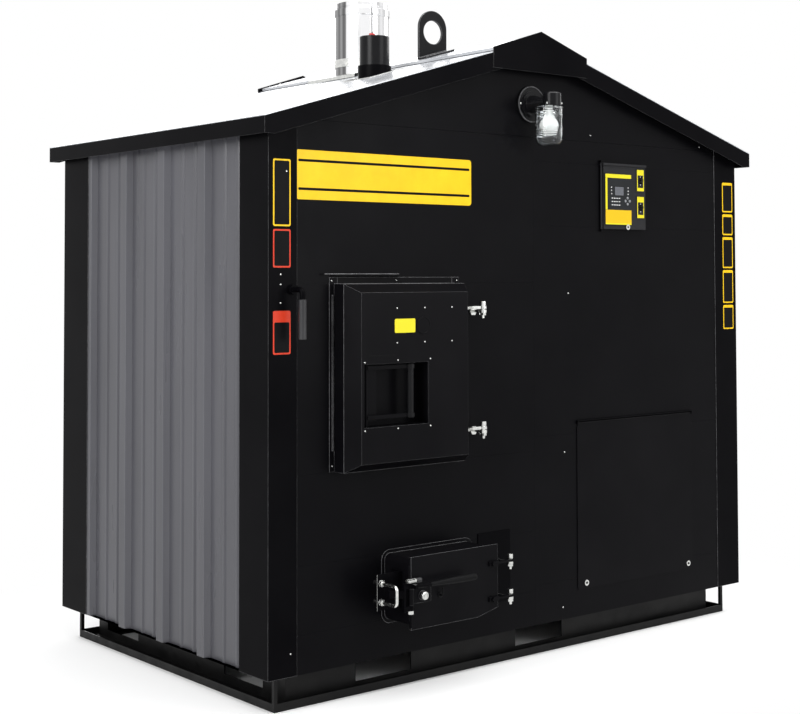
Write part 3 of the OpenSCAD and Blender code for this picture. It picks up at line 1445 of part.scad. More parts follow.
// Firebox, pot ring, air pipe, flue tubes and smoke box
tube_row_y = firebox_y1 - 220;
module tube_set(z0, z1, r) {
  for (i = [0 : tube_cols - 1], j = [0 : tube_rows - 1])
    rod_z(z0, z1, firebox_x0 + 100 + i * tube_step, tube_row_y + j * tube_step, r);
}
module firebox() color("#55565a") {
  t = boiler_t;
  y0 = boiler_y0 + t;
  throat_z = ash_in_z1 + collar_t;
  difference() {
    union() {
      plate_box(firebox_x0 - t, firebox_x1 + t, y0, firebox_y1 + t, firebox_z0 - t, firebox_z1 + t, t, false, true);
      plate_box(firebox_x0 - t, smoke_x1, smoke_y0, smoke_y1, smoke_z0 - t, boiler_z1 - t, t, true, false);
    }
    pot_hole(firebox_x0, firebox_x1, firebox_z0 - t - seat / 2, firebox_z0 + 1);
    tube_set(firebox_z1 - 1, smoke_z0 + 1, tube_r + seat);
    rod_x(firebox_x1 - 1, firebox_x1 + t + 1, auger_y, auger_z, tube_in + auger_tube_t + seat);
  }
  difference() {
    tube_set(firebox_z1, smoke_z0, tube_r);
    tube_set(firebox_z1 - 1, smoke_z0 + 1, tube_r - tube_t);
  }
  difference() {
    pot_square(free * 2 + ring_t, throat_z, firebox_z0 - t - seat);
    pot_hole(firebox_x0, firebox_x1, throat_z - 1, firebox_z0);
    rod_x(pot_x, boiler_x1, pot_y, air_z, air_r - 3);
  }
  difference() {
    rod_x(pot_x, boiler_x1, pot_y, air_z, air_r);
    rod_x(pot_x - 1, boiler_x1 + 1, pot_y, air_z, air_r - 3);
    pot_square(free * 2 + ring_t + seat, throat_z, firebox_z0);
  }
}

// Square round the pot, and its hole in four strips
module pot_square(out, z0, z1) {
  h = pot_half + out;
  block(pot_x - h, pot_x + h, pot_y - h, pot_y + h, z0, z1);
}
module pot_hole(x0, x1, z0, z1) {
  h = pot_half + free * 2;
  pot_square(free * 2, z0, z1);
  for (y = [pot_y - h, pot_y + h - seat]) block(x0 + seat / 2, x1 - seat / 2, y, y + seat, z0, z1);
}

// Ash chamber behind the ash door
module ash_chamber() color("#55565a") {
  y0 = boiler_y0 + boiler_t;
  y1 = y0 + ash_chamber_d;
  t = collar_t;
  difference() {
    plate_box(ash_in_x0 - t, ash_in_x1 + t, y0, y1, ash_in_z0 - t, ash_in_z1 + t, t, false, true);
    pot_hole(ash_in_x0, ash_in_x1, ash_in_z1 - 0.1, ash_in_z1 + t + 1);
  }
}

// Cast burn pot, hanging by its flange
module burn_pot() color("#3c3a38") {
  rim_h = 8;
  hole_r = 9;
  z0 = firebox_z0 - pot_deep;
  difference() {
    union() {
      pot_square(0, z0, firebox_z0 + rim_h);
      pot_square(pot_lip, firebox_z0, firebox_z0 + rim_h);
    }
    pot_square(-pot_t, z0 + pot_t, firebox_z0 + rim_h + 1);
    pot_square(1, z0 + pot_t, z0 + pot_t + seat);
    for (y = [pot_y - pot_half + pot_t, pot_y + pot_half - pot_t - seat])
      block(pot_x - pot_half - pot_lip - 1, pot_x + pot_half + pot_lip + 1, y, y + seat,
        z0 + pot_t, firebox_z0 + rim_h + 1);
    for (x = [-1, 0, 1], y = [-1, 0, 1])
      rod_z(z0 - 1, z0 + pot_t + 1, pot_x + x * pot_half / 2, pot_y + y * pot_half / 2, hole_r);
  }
}

// Ash pan
module ash_pan() color("#7a7c80") {
  gap = 12;
  wall = 3;
  high = 95;
  y0 = boiler_y0 + 20;
  y1 = boiler_y0 + ash_chamber_d - 40;
  difference() {
    block(ash_in_x0 + gap, ash_in_x1 - gap, y0, y1, ash_in_z0, ash_in_z0 + high);
    block(ash_in_x0 + gap + wall, ash_in_x1 - gap - wall, y0 + wall, y1 - wall,
      ash_in_z0 + wall, ash_in_z0 + high + 1);
  }
}

// Hopper with its trough
module hopper_outline(in) {
  low = auger_z + tube_in + auger_tube_t;
  c = chute_half;
  polygon([[hopper_y0 + in, hopper_top], [hopper_y0 + in, hopper_waist], [auger_y - c + in, low],
    [auger_y + c - in, low], [hopper_y1 - in, hopper_waist], [hopper_y1 - in, hopper_top]]);
}
module hopper() color("#808387") {
  low = auger_z + tube_in + auger_tube_t;
  t = hopper_t;
  difference() {
    side_prism(hopper_x0, hopper_x1) hopper_outline(0);
    side_prism(hopper_x0 + t, hopper_x1 - t) hopper_outline(t);
    block(hopper_x0 + t, hopper_x1 - t, hopper_y0 + t, hopper_y1 - t, hopper_top - 1, hopper_top + 1);
    block(hopper_x0 + 60, auger_x1 - 60, auger_y - chute_half + t, auger_y + chute_half - t, low - 1, low + t + 1);
  }
  for (x = [hopper_x0 + 40, hopper_x1 - 80], y = [hopper_y0, hopper_y1 - 40])
    block(x, x + 40, y + (y > 0 ? 0 : t), y + (y > 0 ? 40 - t : 40), pan_top, hopper_leg_z(y));
}
function hopper_leg_z(y) = hopper_waist - 20 - (hopper_waist - auger_z - tube_in - auger_tube_t)
  * (y > 0 ? 40 / (hopper_y1 - auger_y - chute_half) : 44 / (auger_y - chute_half - hopper_y0));

// Tube round the auger
module auger_tube() color("#8a8d91") {
  r = tube_in + auger_tube_t;
  low = auger_z + tube_in + auger_tube_t;
  difference() {
    union() {
      rod_x(auger_x0, auger_x1, auger_y, auger_z, r);
      block(hopper_x0, auger_x1, auger_y - chute_half - 6, auger_y + chute_half + 6, auger_z, low - seat);
      block(auger_x1 - 12, auger_x1, auger_y - r - 14, auger_y + r + 14, auger_z - r - 14, auger_z + r);
    }
    rod_x(auger_x0 - 1, auger_x1 - 12, auger_y, auger_z, tube_in);
    rod_x(auger_x1 - 13, auger_x1 + 1, auger_y, auger_z, auger_shaft_r + run);
    block(hopper_x0 + 60, auger_x1 - 60, auger_y - chute_half + hopper_t, auger_y + chute_half - hopper_t,
      auger_z, low + 1);
    block(auger_x0 - 1, auger_x0 + 56, auger_y - tube_in + 10, auger_y + tube_in - 10, auger_z - r - 1, auger_z);
  }
}

// Auger: shaft with one unbroken flight
module auger_screw() color("#9a9da1") {
  span = auger_x1 - auger_x0 - 40;
  turns = span / auger_pitch;
  rod_x(auger_x0 + 4, auger_x1 + 30, auger_y, auger_z, auger_shaft_r);
  translate([auger_x0 + 10, auger_y, auger_z]) rotate([0, 90, 0])
    linear_extrude(height = span, twist = 360 * turns, slices = round(turns * 14), segments = 4)
      translate([auger_shaft_r - 4, -3]) square([auger_r - auger_shaft_r + 4, 6]);
}

// Gear motor on its bracket
motor_gap = 6;
gear_l = 110;
gear_half = 60;
gear_low = 70;
gear_high = 40;
motor_l = 150;
motor_r = 52;
module auger_motor() color("#2f4a63") {
  x0 = auger_x1 + motor_gap;
  x1 = x0 + gear_l;
  difference() {
    block(x0, x1, auger_y - gear_half, auger_y + gear_half, auger_z - gear_low, auger_z + gear_high);
    rod_x(x0 - 1, x0 + gear_high, auger_y, auger_z, auger_shaft_r + run);
  }
  rod_x(x1, x1 + motor_l, auger_y, auger_z - 20, motor_r);
  block(x0 + 20, x1 - 20, auger_y - motor_r, auger_y + motor_r, pan_top, auger_z - gear_low);
}

// Blower: drum, duct, motor and stand
fan_motor_l = 120;
fan_motor_r = 60;
foot_at = 70;
foot_w = 30;
foot_rise = 36;
blade_l = 58;
module blower_housing() color("#3d3f42") {
  r = wheel_r + blower_gap;
  t = 3;
  y1 = blower_y0 + blower_d;
  difference() {
    union() {
      rod_y(blower_y0, y1, blower_x, blower_z, r);
      block(boiler_x1 + seat, blower_x, blower_y0, y1, air_z - duct_half, air_z + duct_half);
    }
    rod_y(blower_y0 + t, y1 - t, blower_x, blower_z, r - t);
    block(boiler_x1, blower_x, blower_y0 + t, y1 - t, air_z - duct_half + t, air_z + duct_half - t);
    rod_y(blower_y0 - 1, blower_y0 + t + 1, blower_x, blower_z, wheel_r * 0.6);
    rod_y(y1 - t - 1, y1 + 1, blower_x, blower_z, 8 + run);
  }
  difference() {
    rod_y(y1, y1 + fan_motor_l, blower_x, blower_z, fan_motor_r);
    rod_y(y1 - 1, y1 + 40, blower_x, blower_z, 8 + run);
  }
  for (s = [-1, 1]) block(blower_x + s * foot_at - foot_w / 2, blower_x + s * foot_at + foot_w / 2,
    blower_y0 + 10, y1 - 10, pan_top, blower_z - r + foot_rise);
}

// Blower wheel: back plate, hub and blades
module blower_wheel() color("#b5b8bc") {
  y1 = blower_y0 + blower_d - 12;
  blades = 18;
  rod_y(y1 - 3, y1, blower_x, blower_z, wheel_r);
  rod_y(y1 - 30, y1 + 40, blower_x, blower_z, 8);
  rod_y(y1 - 20, y1, blower_x, blower_z, 22);
  for (i = [0 : blades - 1]) translate([blower_x, y1 - blade_l - 2, blower_z])
    rotate([0, i * 360 / blades, 0]) translate([wheel_r - 24, 0, -1]) cube([22, blade_l, 2]);
}

// Water connections and the cable gland
module service_ports() color("#b08d57") {
  for (i = [0, 1]) difference() {
    union() {
      rod_y(boiler_y1, back_y + 30, port_x[i], port_z[i], port_r);
      rod_y(back_y, back_y + 30, port_x[i], port_z[i], port_r + 6, $fn = 6);
    }
    rod_y(boiler_y1 - 1, back_y + 31, port_x[i], port_z[i], port_bore_r);
  }
  difference() {
    union() {
      rod_y(-skin_y, back_y + 16, gland_x, gland_z, gland_r);
      rod_y(-skin_in - 10, back_y + 10, gland_x, gland_z, gland_r - 4);
      rod_y(-skin_in - 10, -skin_in, gland_x, gland_z, gland_r);
    }
    rod_y(-skin_in - 11, back_y + 17, gland_x, gland_z, 6);
  }
}

// Lid over the filling opening
lid_over = 20;
lid_h = 24;
lid_x0 = fill_x - fill_w / 2 - lid_over;
lid_x1 = fill_x + fill_w / 2 + lid_over;
lid_y0 = fill_y - fill_w / 2 - lid_over;
lid_y1 = fill_y + fill_w / 2 + lid_over;
lid_pin_x = lid_x0 - 7;
lid_pin_z = roof_z(lid_pin_x) + 8;
lid_pin_r = 2.5;
module hopper_lid() color("#c9cccf") {
  t = sheet_t;
  pull_x = lid_x1 - 30;
  difference() {
    front_prism(lid_y0, lid_y1) slope_section(lid_x0, lid_x1, lid_h, lid_h - 1);
    front_prism(lid_y0 + t, lid_y1 - t) slope_section(lid_x0 + t, lid_x1 - t, lid_h - sheet_v, lid_h);
  }
  rod_y(lid_y0 + 12, lid_y1 - 12, lid_pin_x, lid_pin_z, lid_pin_r * 2);
  rod_y(lid_y0 + 1, lid_y1 - 1, lid_pin_x, lid_pin_z, lid_pin_r);
  block(lid_pin_x, lid_x0 + 1, lid_y0 + 12, lid_y1 - 12, lid_pin_z - 1, lid_pin_z + 2);
  block(pull_x, pull_x + 6, fill_y - 50, fill_y + 50, roof_z(pull_x) + lid_h - 4, roof_z(pull_x) + lid_h + 22);
}

base_frame();
plinth();
floor_pan();
wall_frame();
front_panel();
rear_panel();
side_panels();
corner_trims();
roof_panels();
roof_trims();
ridge_cap();
lifting_lug();
chimney();
roof_flashings();
vent_pipe();
lamp_base();
lamp_bulb();
lamp_jar();
cabinet_screws();
fire_door_frame();
hinge_mounts();
hinge_pins();
ash_door_frame();
ash_keeper();
boiler_shell();
firebox();
ash_chamber();
burn_pot();
ash_pan();
hopper();
auger_tube();
auger_motor();
blower_housing();
service_ports();
control_box();
fire_door_casing();
fire_door_plug();
fire_door_gasket();
fire_hinge_arms();
fire_latch_handle();
ash_door_plate();
ash_door_plug();
ash_hinge_arms();
ash_latch_handle();
bypass_lever();
access_hatch();
hatch_lock_left();
hatch_lock_right();
control_panel();
control_lock();
switch_upper();
switch_lower();
key_up();
key_down();
key_left();
key_right();
float_rod();
auger_screw();
blower_wheel();
hopper_lid();
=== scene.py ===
import bpy, bmesh, json, math
from mathutils import Vector, Matrix


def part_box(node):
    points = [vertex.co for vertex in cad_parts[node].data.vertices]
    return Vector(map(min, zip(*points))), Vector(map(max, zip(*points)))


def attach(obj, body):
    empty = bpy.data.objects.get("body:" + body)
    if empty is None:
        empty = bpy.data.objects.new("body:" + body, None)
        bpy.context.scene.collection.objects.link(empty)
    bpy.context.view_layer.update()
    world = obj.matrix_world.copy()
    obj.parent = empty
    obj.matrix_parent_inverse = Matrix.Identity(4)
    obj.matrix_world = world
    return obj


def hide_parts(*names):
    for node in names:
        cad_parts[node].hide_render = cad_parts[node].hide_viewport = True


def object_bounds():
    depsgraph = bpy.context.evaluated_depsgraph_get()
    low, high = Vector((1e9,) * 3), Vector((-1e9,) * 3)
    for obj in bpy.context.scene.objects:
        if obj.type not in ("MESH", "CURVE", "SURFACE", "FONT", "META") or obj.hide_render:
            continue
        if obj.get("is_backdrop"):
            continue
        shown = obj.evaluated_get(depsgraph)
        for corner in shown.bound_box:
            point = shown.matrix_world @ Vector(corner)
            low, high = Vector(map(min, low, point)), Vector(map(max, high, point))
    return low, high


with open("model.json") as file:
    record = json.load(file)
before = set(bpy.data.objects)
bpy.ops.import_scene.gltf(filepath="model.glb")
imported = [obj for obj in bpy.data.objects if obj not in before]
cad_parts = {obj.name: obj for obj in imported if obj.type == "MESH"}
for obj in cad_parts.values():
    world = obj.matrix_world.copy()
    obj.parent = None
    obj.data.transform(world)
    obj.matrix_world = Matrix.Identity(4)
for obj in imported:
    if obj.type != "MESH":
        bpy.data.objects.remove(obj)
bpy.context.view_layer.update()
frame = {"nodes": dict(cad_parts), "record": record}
NODES = frame["nodes"]
BEHAVIOUR = frame["record"]["behaviour"]
BODY_OF = {cad: body for body, cads in BEHAVIOUR["bodies"].items() for cad in cads}
TURN_AT = {j["child"]: j["pos_m"] for j in BEHAVIOUR["joints"] if "pos_m" in j}
scene = bpy.context.scene

# ---------------------------------------------------------------- camera
IMAGE_W, IMAGE_H = 800, 714
FOCAL_PX = 1486.7
AXIS_PX = (438.2, 222.7)    # where the line of sight meets the image
SENSOR_W = 36
CAMERA_AT = (-3.51483, -4.33569, 1.28342)
YAW, PITCH, ROLL = math.radians(40.08), math.radians(2.12), math.radians(-0.19)

fwd = Vector((math.sin(YAW) * math.cos(PITCH), math.cos(YAW) * math.cos(PITCH), math.sin(PITCH)))
right = Vector((math.cos(YAW), -math.sin(YAW), 0))
up = right.cross(fwd)
rolled_right = right * math.cos(ROLL) + up * math.sin(ROLL)
rolled_up = -right * math.sin(ROLL) + up * math.cos(ROLL)
cam_data = bpy.data.cameras.new("camera")
cam_data.sensor_width = SENSOR_W
cam_data.lens = SENSOR_W * FOCAL_PX / IMAGE_W
cam_data.shift_x = (IMAGE_W / 2 - AXIS_PX[0]) / IMAGE_W
cam_data.shift_y = (AXIS_PX[1] - IMAGE_H / 2) / IMAGE_W
cam_data.clip_end = 60
cam = bpy.data.objects.new("camera", cam_data)
scene.collection.objects.link(cam)
cam_matrix = Matrix((rolled_right, rolled_up, -fwd)).transposed().to_4x4()
cam_matrix.translation = Vector(CAMERA_AT)
cam.matrix_world = cam_matrix
scene.camera = cam


# ---------------------------------------------------------------- materials
TONE_LOW, TONE_HIGH = 0.3, 0.7    # noise values at which a two-tone ramp starts and ends
GLOSS_FINER = 2.3                 # the gloss varies on a finer scale than the tone by this factor
WAVE_DEPTH = 0.004


def new_mat(name):
    mat = bpy.data.materials.new(name)
    mat.use_nodes = True
    nt = mat.node_tree
    return mat, nt, nt.nodes["Principled BSDF"]


def node(nt, kind, **values):
    """A new node; each value goes to the input of that name, or to the node's own setting."""
    made = nt.nodes.new(kind)
    for key, value in values.items():
        if key in made.inputs:
            made.inputs[key].default_value = value
        else:
            setattr(made, key, value)
    return made


def coords(nt):
    return node(nt, "ShaderNodeTexCoord").outputs["Object"]


def scaled(nt, vec, scale):
    mapping = node(nt, "ShaderNodeMapping")
    mapping.inputs["Scale"].default_value = scale
    nt.links.new(vec, mapping.inputs["Vector"])
    return mapping.outputs["Vector"]


def noise(nt, vec, scale, detail=2.0, rough=0.5):
    tex = node(nt, "ShaderNodeTexNoise", Scale=scale, Detail=detail, Roughness=rough)
    nt.links.new(vec, tex.inputs["Vector"])
    return tex.outputs["Fac"]


def grey(value):
    return (value, value, value)


def ramp(nt, fac, stops):
    made = node(nt, "ShaderNodeValToRGB")
    elements = made.color_ramp.elements
    while len(elements) < len(stops):
        elements.new(0.5)
    for element, (position, colour) in zip(elements, stops):
        element.position = position
        element.color = (*colour, 1)
    nt.links.new(fac, made.inputs["Fac"])
    return made.outputs["Color"]


def two_tone(nt, fac, dark, light):
    return ramp(nt, fac, [(TONE_LOW, dark), (TONE_HIGH, light)])


def bump(nt, height, strength, distance, normal=None):
    made = node(nt, "ShaderNodeBump", Strength=strength, Distance=distance)
    nt.links.new(height, made.inputs["Height"])
    if normal is not None:
        nt.links.new(normal, made.inputs["Normal"])
    return made.outputs["Normal"]


def calc(nt, operation, *values):
    """A maths node; each value is a number or the output of another node."""
    made = node(nt, "ShaderNodeMath", operation=operation)
    for i, value in enumerate(values):
        if isinstance(value, (int, float)):
            made.inputs[i].default_value = value
        else:
            nt.links.new(value, made.inputs[i])
    return made.outputs[0]


def smooth_range(nt, value, from_min, from_max, to_min, to_max):
    made = node(nt, "ShaderNodeMapRange", interpolation_type="SMOOTHSTEP")
    for key, limit in (("From Min", from_min), ("From Max", from_max), ("To Min", to_min), ("To Max", to_max)):
        made.inputs[key].default_value = limit
    nt.links.new(value, made.inputs["Value"])
    return made.outputs["Result"]


def split_xyz(nt, vec):
    made = node(nt, "ShaderNodeSeparateXYZ")
    nt.links.new(vec, made.inputs[0])
    return made.outputs


def mixed(nt, share, first, second):
    made = node(nt, "ShaderNodeMixShader")
    nt.links.new(share, made.inputs["Fac"])
    nt.links.new(first, made.inputs[1])
    nt.links.new(second, made.inputs[2])
    return made.outputs[0]


def surface(name, dark, light, rough=(0.3, 0.4), metal=0.0, tone_scale=3.0, grain_scale=900.0,
            grain=0.15, grain_d=0.0002, wave=0.0, wave_scale=2.5, stretch=(1, 1, 1), coat=0.0, spec=0.5):
    """A painted, plated or moulded surface: slow tone changes, uneven gloss, fine grain and slight waviness."""
    mat, nt, b = new_mat(name)
    v = scaled(nt, coords(nt), stretch)
    nt.links.new(two_tone(nt, noise(nt, v, tone_scale, 4.0, 0.6), dark, light), b.inputs["Base Color"])
    gloss = noise(nt, v, tone_scale * GLOSS_FINER, 3.0)
    nt.links.new(two_tone(nt, gloss, grey(rough[0]), grey(rough[1])), b.inputs["Roughness"])
    b.inputs["Metallic"].default_value = metal
    b.inputs["Specular IOR Level"].default_value = spec
    b.inputs["Coat Weight"].default_value = coat
    normal = bump(nt, noise(nt, v, grain_scale, 2.0), grain, grain_d)
    if wave:
        normal = bump(nt, noise(nt, coords(nt), wave_scale, 1.0), wave, WAVE_DEPTH, normal)
    nt.links.new(normal, b.inputs["Normal"])
    return mat


BLACK = surface("black_coat", (0.0016, 0.0015, 0.0021), (0.0028, 0.0027, 0.0034), (0.30, 0.42),
                grain_scale=700, grain=0.10, wave=0.22, wave_scale=2.2, spec=0.046)
BLACK_TRIM = surface("black_trim", (0.0013, 0.0012, 0.0017), (0.0026, 0.0025, 0.0031), (0.28, 0.38),
                     grain_scale=700, grain=0.08, wave=0.12, spec=0.022)
DOOR = surface("door_coat", (0.0020, 0.0019, 0.0025), (0.0038, 0.0036, 0.0044), (0.28, 0.38),
               grain_scale=800, grain=0.10, wave=0.10, spec=0.046)
# a bright finish for rounded edges, rims and beads on black parts: a painted highlight, brighter and darker in
# turn along the edge
EDGE_HIGHLIGHT = surface("painted_edge_highlight", (0.010, 0.010, 0.011), (0.085, 0.085, 0.090), (0.20, 0.30), tone_scale=30,
               grain_scale=900, grain=0.08, spec=0.6)
PIPE_BLACK = surface("pipe_black", (0.0030, 0.0030, 0.0036), (0.0060, 0.0060, 0.0068), (0.22, 0.32),
                     grain_scale=700, grain=0.08, wave=0.12, spec=0.13)
RIB = surface("ribbed_sheet", (0.049, 0.049, 0.056), (0.069, 0.069, 0.079), (0.26, 0.36), tone_scale=5,
              grain_scale=600, grain=0.06, wave=0.10, stretch=(1, 1, 0.12), spec=0.35)
# lighter copies of the ribbed sheet: on the rib shoulders a painted highlight, on the rib flanks painted light
# against the shade that falls on them
RIB_SHOULDER_HIGHLIGHT = surface("rib_shoulder_highlight", (0.10, 0.10, 0.112), (0.155, 0.155, 0.170), (0.22, 0.30), tone_scale=8,
                   grain_scale=600, grain=0.06, stretch=(1, 1, 0.12), spec=0.45)
RIB_FLANK = surface("rib_flank", (0.066, 0.066, 0.075), (0.092, 0.092, 0.104), (0.26, 0.36), tone_scale=5,
                    grain_scale=600, grain=0.06, stretch=(1, 1, 0.12), spec=0.35)
INK = surface("black_print", (0.0022, 0.0022, 0.0025), (0.0042, 0.0042, 0.0046), (0.30, 0.40),
              grain_scale=2500, spec=0.05)
CHASSIS = surface("chassis_black", (0.0014, 0.0014, 0.0017), (0.0040, 0.0038, 0.0037), (0.38, 0.58),
                  tone_scale=9, grain_scale=400, grain=0.25, grain_d=0.0004, spec=0.16)
ROOF = surface("roof_sheet", (0.46, 0.475, 0.50), (0.58, 0.59, 0.61), (0.20, 0.32), metal=0.35,
               tone_scale=4, grain_scale=260, grain=0.06, wave=0.15, coat=0.1)
GALV = surface("galvanised", (0.42, 0.44, 0.47), (0.66, 0.68, 0.70), (0.28, 0.45), metal=0.9,
               tone_scale=45, grain_scale=300, grain=0.10)
ZINC = surface("zinc_plate", (0.55, 0.56, 0.55), (0.80, 0.80, 0.77), (0.16, 0.30), metal=1.0,
               tone_scale=60, grain_scale=1400, grain=0.12)
STEEL = surface("rolled_steel", (0.10, 0.105, 0.11), (0.22, 0.22, 0.225), (0.40, 0.60), metal=0.8,
                tone_scale=12, grain_scale=500, grain=0.2)
CAST = surface("cast_iron", (0.020, 0.018, 0.016), (0.055, 0.048, 0.042), (0.65, 0.85), metal=0.3,
               tone_scale=35, grain_scale=350, grain=0.6, grain_d=0.0006)
REFRACT = surface("refractory", (0.40, 0.35, 0.28), (0.58, 0.53, 0.45), (0.85, 0.95), tone_scale=20,
                  grain_scale=260, grain=0.7, grain_d=0.0008)
ROPE = surface("glass_rope", (0.45, 0.43, 0.38), (0.70, 0.68, 0.62), (0.85, 0.95), tone_scale=90,
               grain_scale=500, grain=0.9, grain_d=0.001)
BRASS = surface("brass", (0.52, 0.36, 0.14), (0.72, 0.55, 0.26), (0.22, 0.38), metal=1.0, tone_scale=40)
BEZEL = surface("panel_grey", (0.010, 0.010, 0.011), (0.019, 0.019, 0.021), (0.38, 0.50), grain_scale=1500,
                grain=0.25, spec=0.12)
FIELD = surface("key_field", (0.009, 0.010, 0.011), (0.017, 0.019, 0.021), (0.34, 0.44),
                grain_scale=2500, grain=0.2, spec=0.12)
PLASTIC = surface("black_plastic", (0.003, 0.003, 0.003), (0.007, 0.007, 0.007), (0.25, 0.38), grain_scale=2500,
                  spec=0.12)
KEY = surface("key_plastic", (0.22, 0.23, 0.24), (0.32, 0.33, 0.35), (0.35, 0.45), grain_scale=2500)
YELLOW = surface("yellow_film", (0.72, 0.44, 0.003), (0.80, 0.50, 0.006), (0.28, 0.38), tone_scale=14,
                 grain_scale=1800, grain=0.08, spec=0.2)
LEMON = surface("lemon_film", (0.62, 0.54, 0.012), (0.70, 0.61, 0.020), (0.28, 0.38),
                grain_scale=1800, spec=0.2)
AMBER = surface("amber_film", (0.62, 0.385, 0.006), (0.70, 0.445, 0.010), (0.28, 0.38),
                grain_scale=1800, spec=0.2)
ORANGE = surface("orange_film", (0.50, 0.032, 0.011), (0.58, 0.042, 0.015), (0.30, 0.40), grain_scale=1800,
                 spec=0.2)
WHITE = surface("white_film", (0.62, 0.62, 0.62), (0.75, 0.75, 0.75), (0.35, 0.5), grain_scale=1800)
SCREEN = surface("display", (0.060, 0.065, 0.078), (0.085, 0.090, 0.105), (0.15, 0.22),
                 grain_scale=3000, coat=0.5)
RUBBER = surface("grip_black", (0.0022, 0.0022, 0.0026), (0.0048, 0.0048, 0.0052), (0.40, 0.52),
                 grain_scale=1200, grain=0.3, grain_d=0.0003, spec=0.07)
GREYCOAT = surface("grip_grey", (0.016, 0.016, 0.018), (0.028, 0.028, 0.030), (0.32, 0.44),
                   grain_scale=900, spec=0.3)
RED = surface("red_bush", (0.42, 0.012, 0.010), (0.55, 0.022, 0.018), (0.35, 0.45), grain_scale=1800)
MOTOR = surface("machine_enamel", (0.030, 0.060, 0.10), (0.045, 0.085, 0.14), (0.30, 0.42), grain_scale=700)
BULB = surface("frosted_white", (0.86, 0.86, 0.83), (0.93, 0.93, 0.91), (0.30, 0.42), tone_scale=20)


# the bands down the chimney are painted reflections: a tone for each place across the chimney as the camera sees
# it
BAND_ACROSS = (-3.83, 3.215, 0)    # turns a place on the chimney into 0 to 1 across its width
BAND_START = -0.444
STREAK_SHARE, STREAK_SCALE, STREAK_STRETCH = 0.05, 60, (1, 1, 0.02)
REFLECTION_BANDS = ((0.0, 0.20), (0.05, 0.55), (0.12, 0.86), (0.20, 0.50), (0.26, 0.90), (0.48, 0.93), (0.62, 0.60),
               (0.66, 0.92), (0.765, 0.94), (0.785, 0.24), (0.82, 0.13), (0.87, 0.36), (0.91, 0.15),
               (0.96, 0.30), (1.0, 0.07))    # place across the chimney, brightness of the painted reflection


def chimney_mat():
    """Rolled stainless with fine streaks; the darker and brighter bands that run down it are painted reflections.
    """
    mat, nt, b = new_mat("stainless")
    v = coords(nt)
    across = node(nt, "ShaderNodeVectorMath", operation="DOT_PRODUCT")
    across.inputs[1].default_value = BAND_ACROSS
    nt.links.new(v, across.inputs[0])
    place = calc(nt, "ADD", across.outputs["Value"], BAND_START)
    fine = noise(nt, scaled(nt, v, STREAK_STRETCH), STREAK_SCALE, 3.0)
    streaked = calc(nt, "MULTIPLY_ADD", fine, STREAK_SHARE, place)
    bands = [(at, (tone, tone, tone * 1.01)) for at, tone in REFLECTION_BANDS]
    nt.links.new(ramp(nt, streaked, bands), b.inputs["Base Color"])
    nt.links.new(two_tone(nt, noise(nt, v, 16), grey(0.10), grey(0.20)), b.inputs["Roughness"])
    b.inputs["Metallic"].default_value = 1.0
    nt.links.new(bump(nt, noise(nt, v, 500), 0.06, 0.0002), b.inputs["Normal"])
    return mat


def glass_mat():
    mat, nt, b = new_mat("clear_glass")
    v = coords(nt)
    b.inputs["Base Color"].default_value = (0.93, 0.95, 0.96, 1)
    b.inputs["Transmission Weight"].default_value = 1.0
    b.inputs["IOR"].default_value = 1.30
    b.inputs["Specular IOR Level"].default_value = 0.3
    nt.links.new(two_tone(nt, noise(nt, v, 30), grey(0.0), grey(0.02)), b.inputs["Roughness"])
    nt.links.new(bump(nt, noise(nt, v, 40, 1.0), 0.10, 0.0006), b.inputs["Normal"])
    return mat


CHIMNEY = chimney_mat()
GLASS = glass_mat()


# ---------------------------------------------------------------- mesh helpers
MERGE_DIST = 3e-5
FLAT_ANGLE = math.radians(0.8)
SHARP_AFTER_BEVEL = math.radians(40)
NEVER_SHARP = math.radians(180)
NORMAL_WEIGHT = 60
POLE_R = 1e-7    # a smaller radius closes a turned profile in one point


def apply_modifier(ob, kind, **settings):
    modifier = ob.modifiers.new(kind.lower(), kind)
    for key, value in settings.items():
        setattr(modifier, key, value)
    graph = bpy.context.evaluated_depsgraph_get()
    me = bpy.data.meshes.new_from_object(ob.evaluated_get(graph))
    ob.modifiers.clear()
    ob.data = me


def weigh_normals(ob):
    apply_modifier(ob, "WEIGHTED_NORMAL", keep_sharp=True, weight=NORMAL_WEIGHT)


def to_mesh(bm, name):
    me = bpy.data.meshes.new(name)
    bm.to_mesh(me)
    bm.free()
    return me


def add_piece(bm, name, mat, body, replaces=(), smooth=35, weighted=True):
    """A piece made here: the mesh, its finish and the body that it rides on."""
    bmesh.ops.recalc_face_normals(bm, faces=bm.faces)
    me = to_mesh(bm, name)
    me.materials.append(mat)
    ob = bpy.data.objects.new(name, me)
    scene.collection.objects.link(ob)
    me.polygons.foreach_set("use_smooth", [True] * len(me.polygons))
    me.set_sharp_from_angle(angle=math.radians(smooth))
    if weighted:
        weigh_normals(ob)
    if replaces:
        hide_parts(*replaces)
    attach(ob, body)


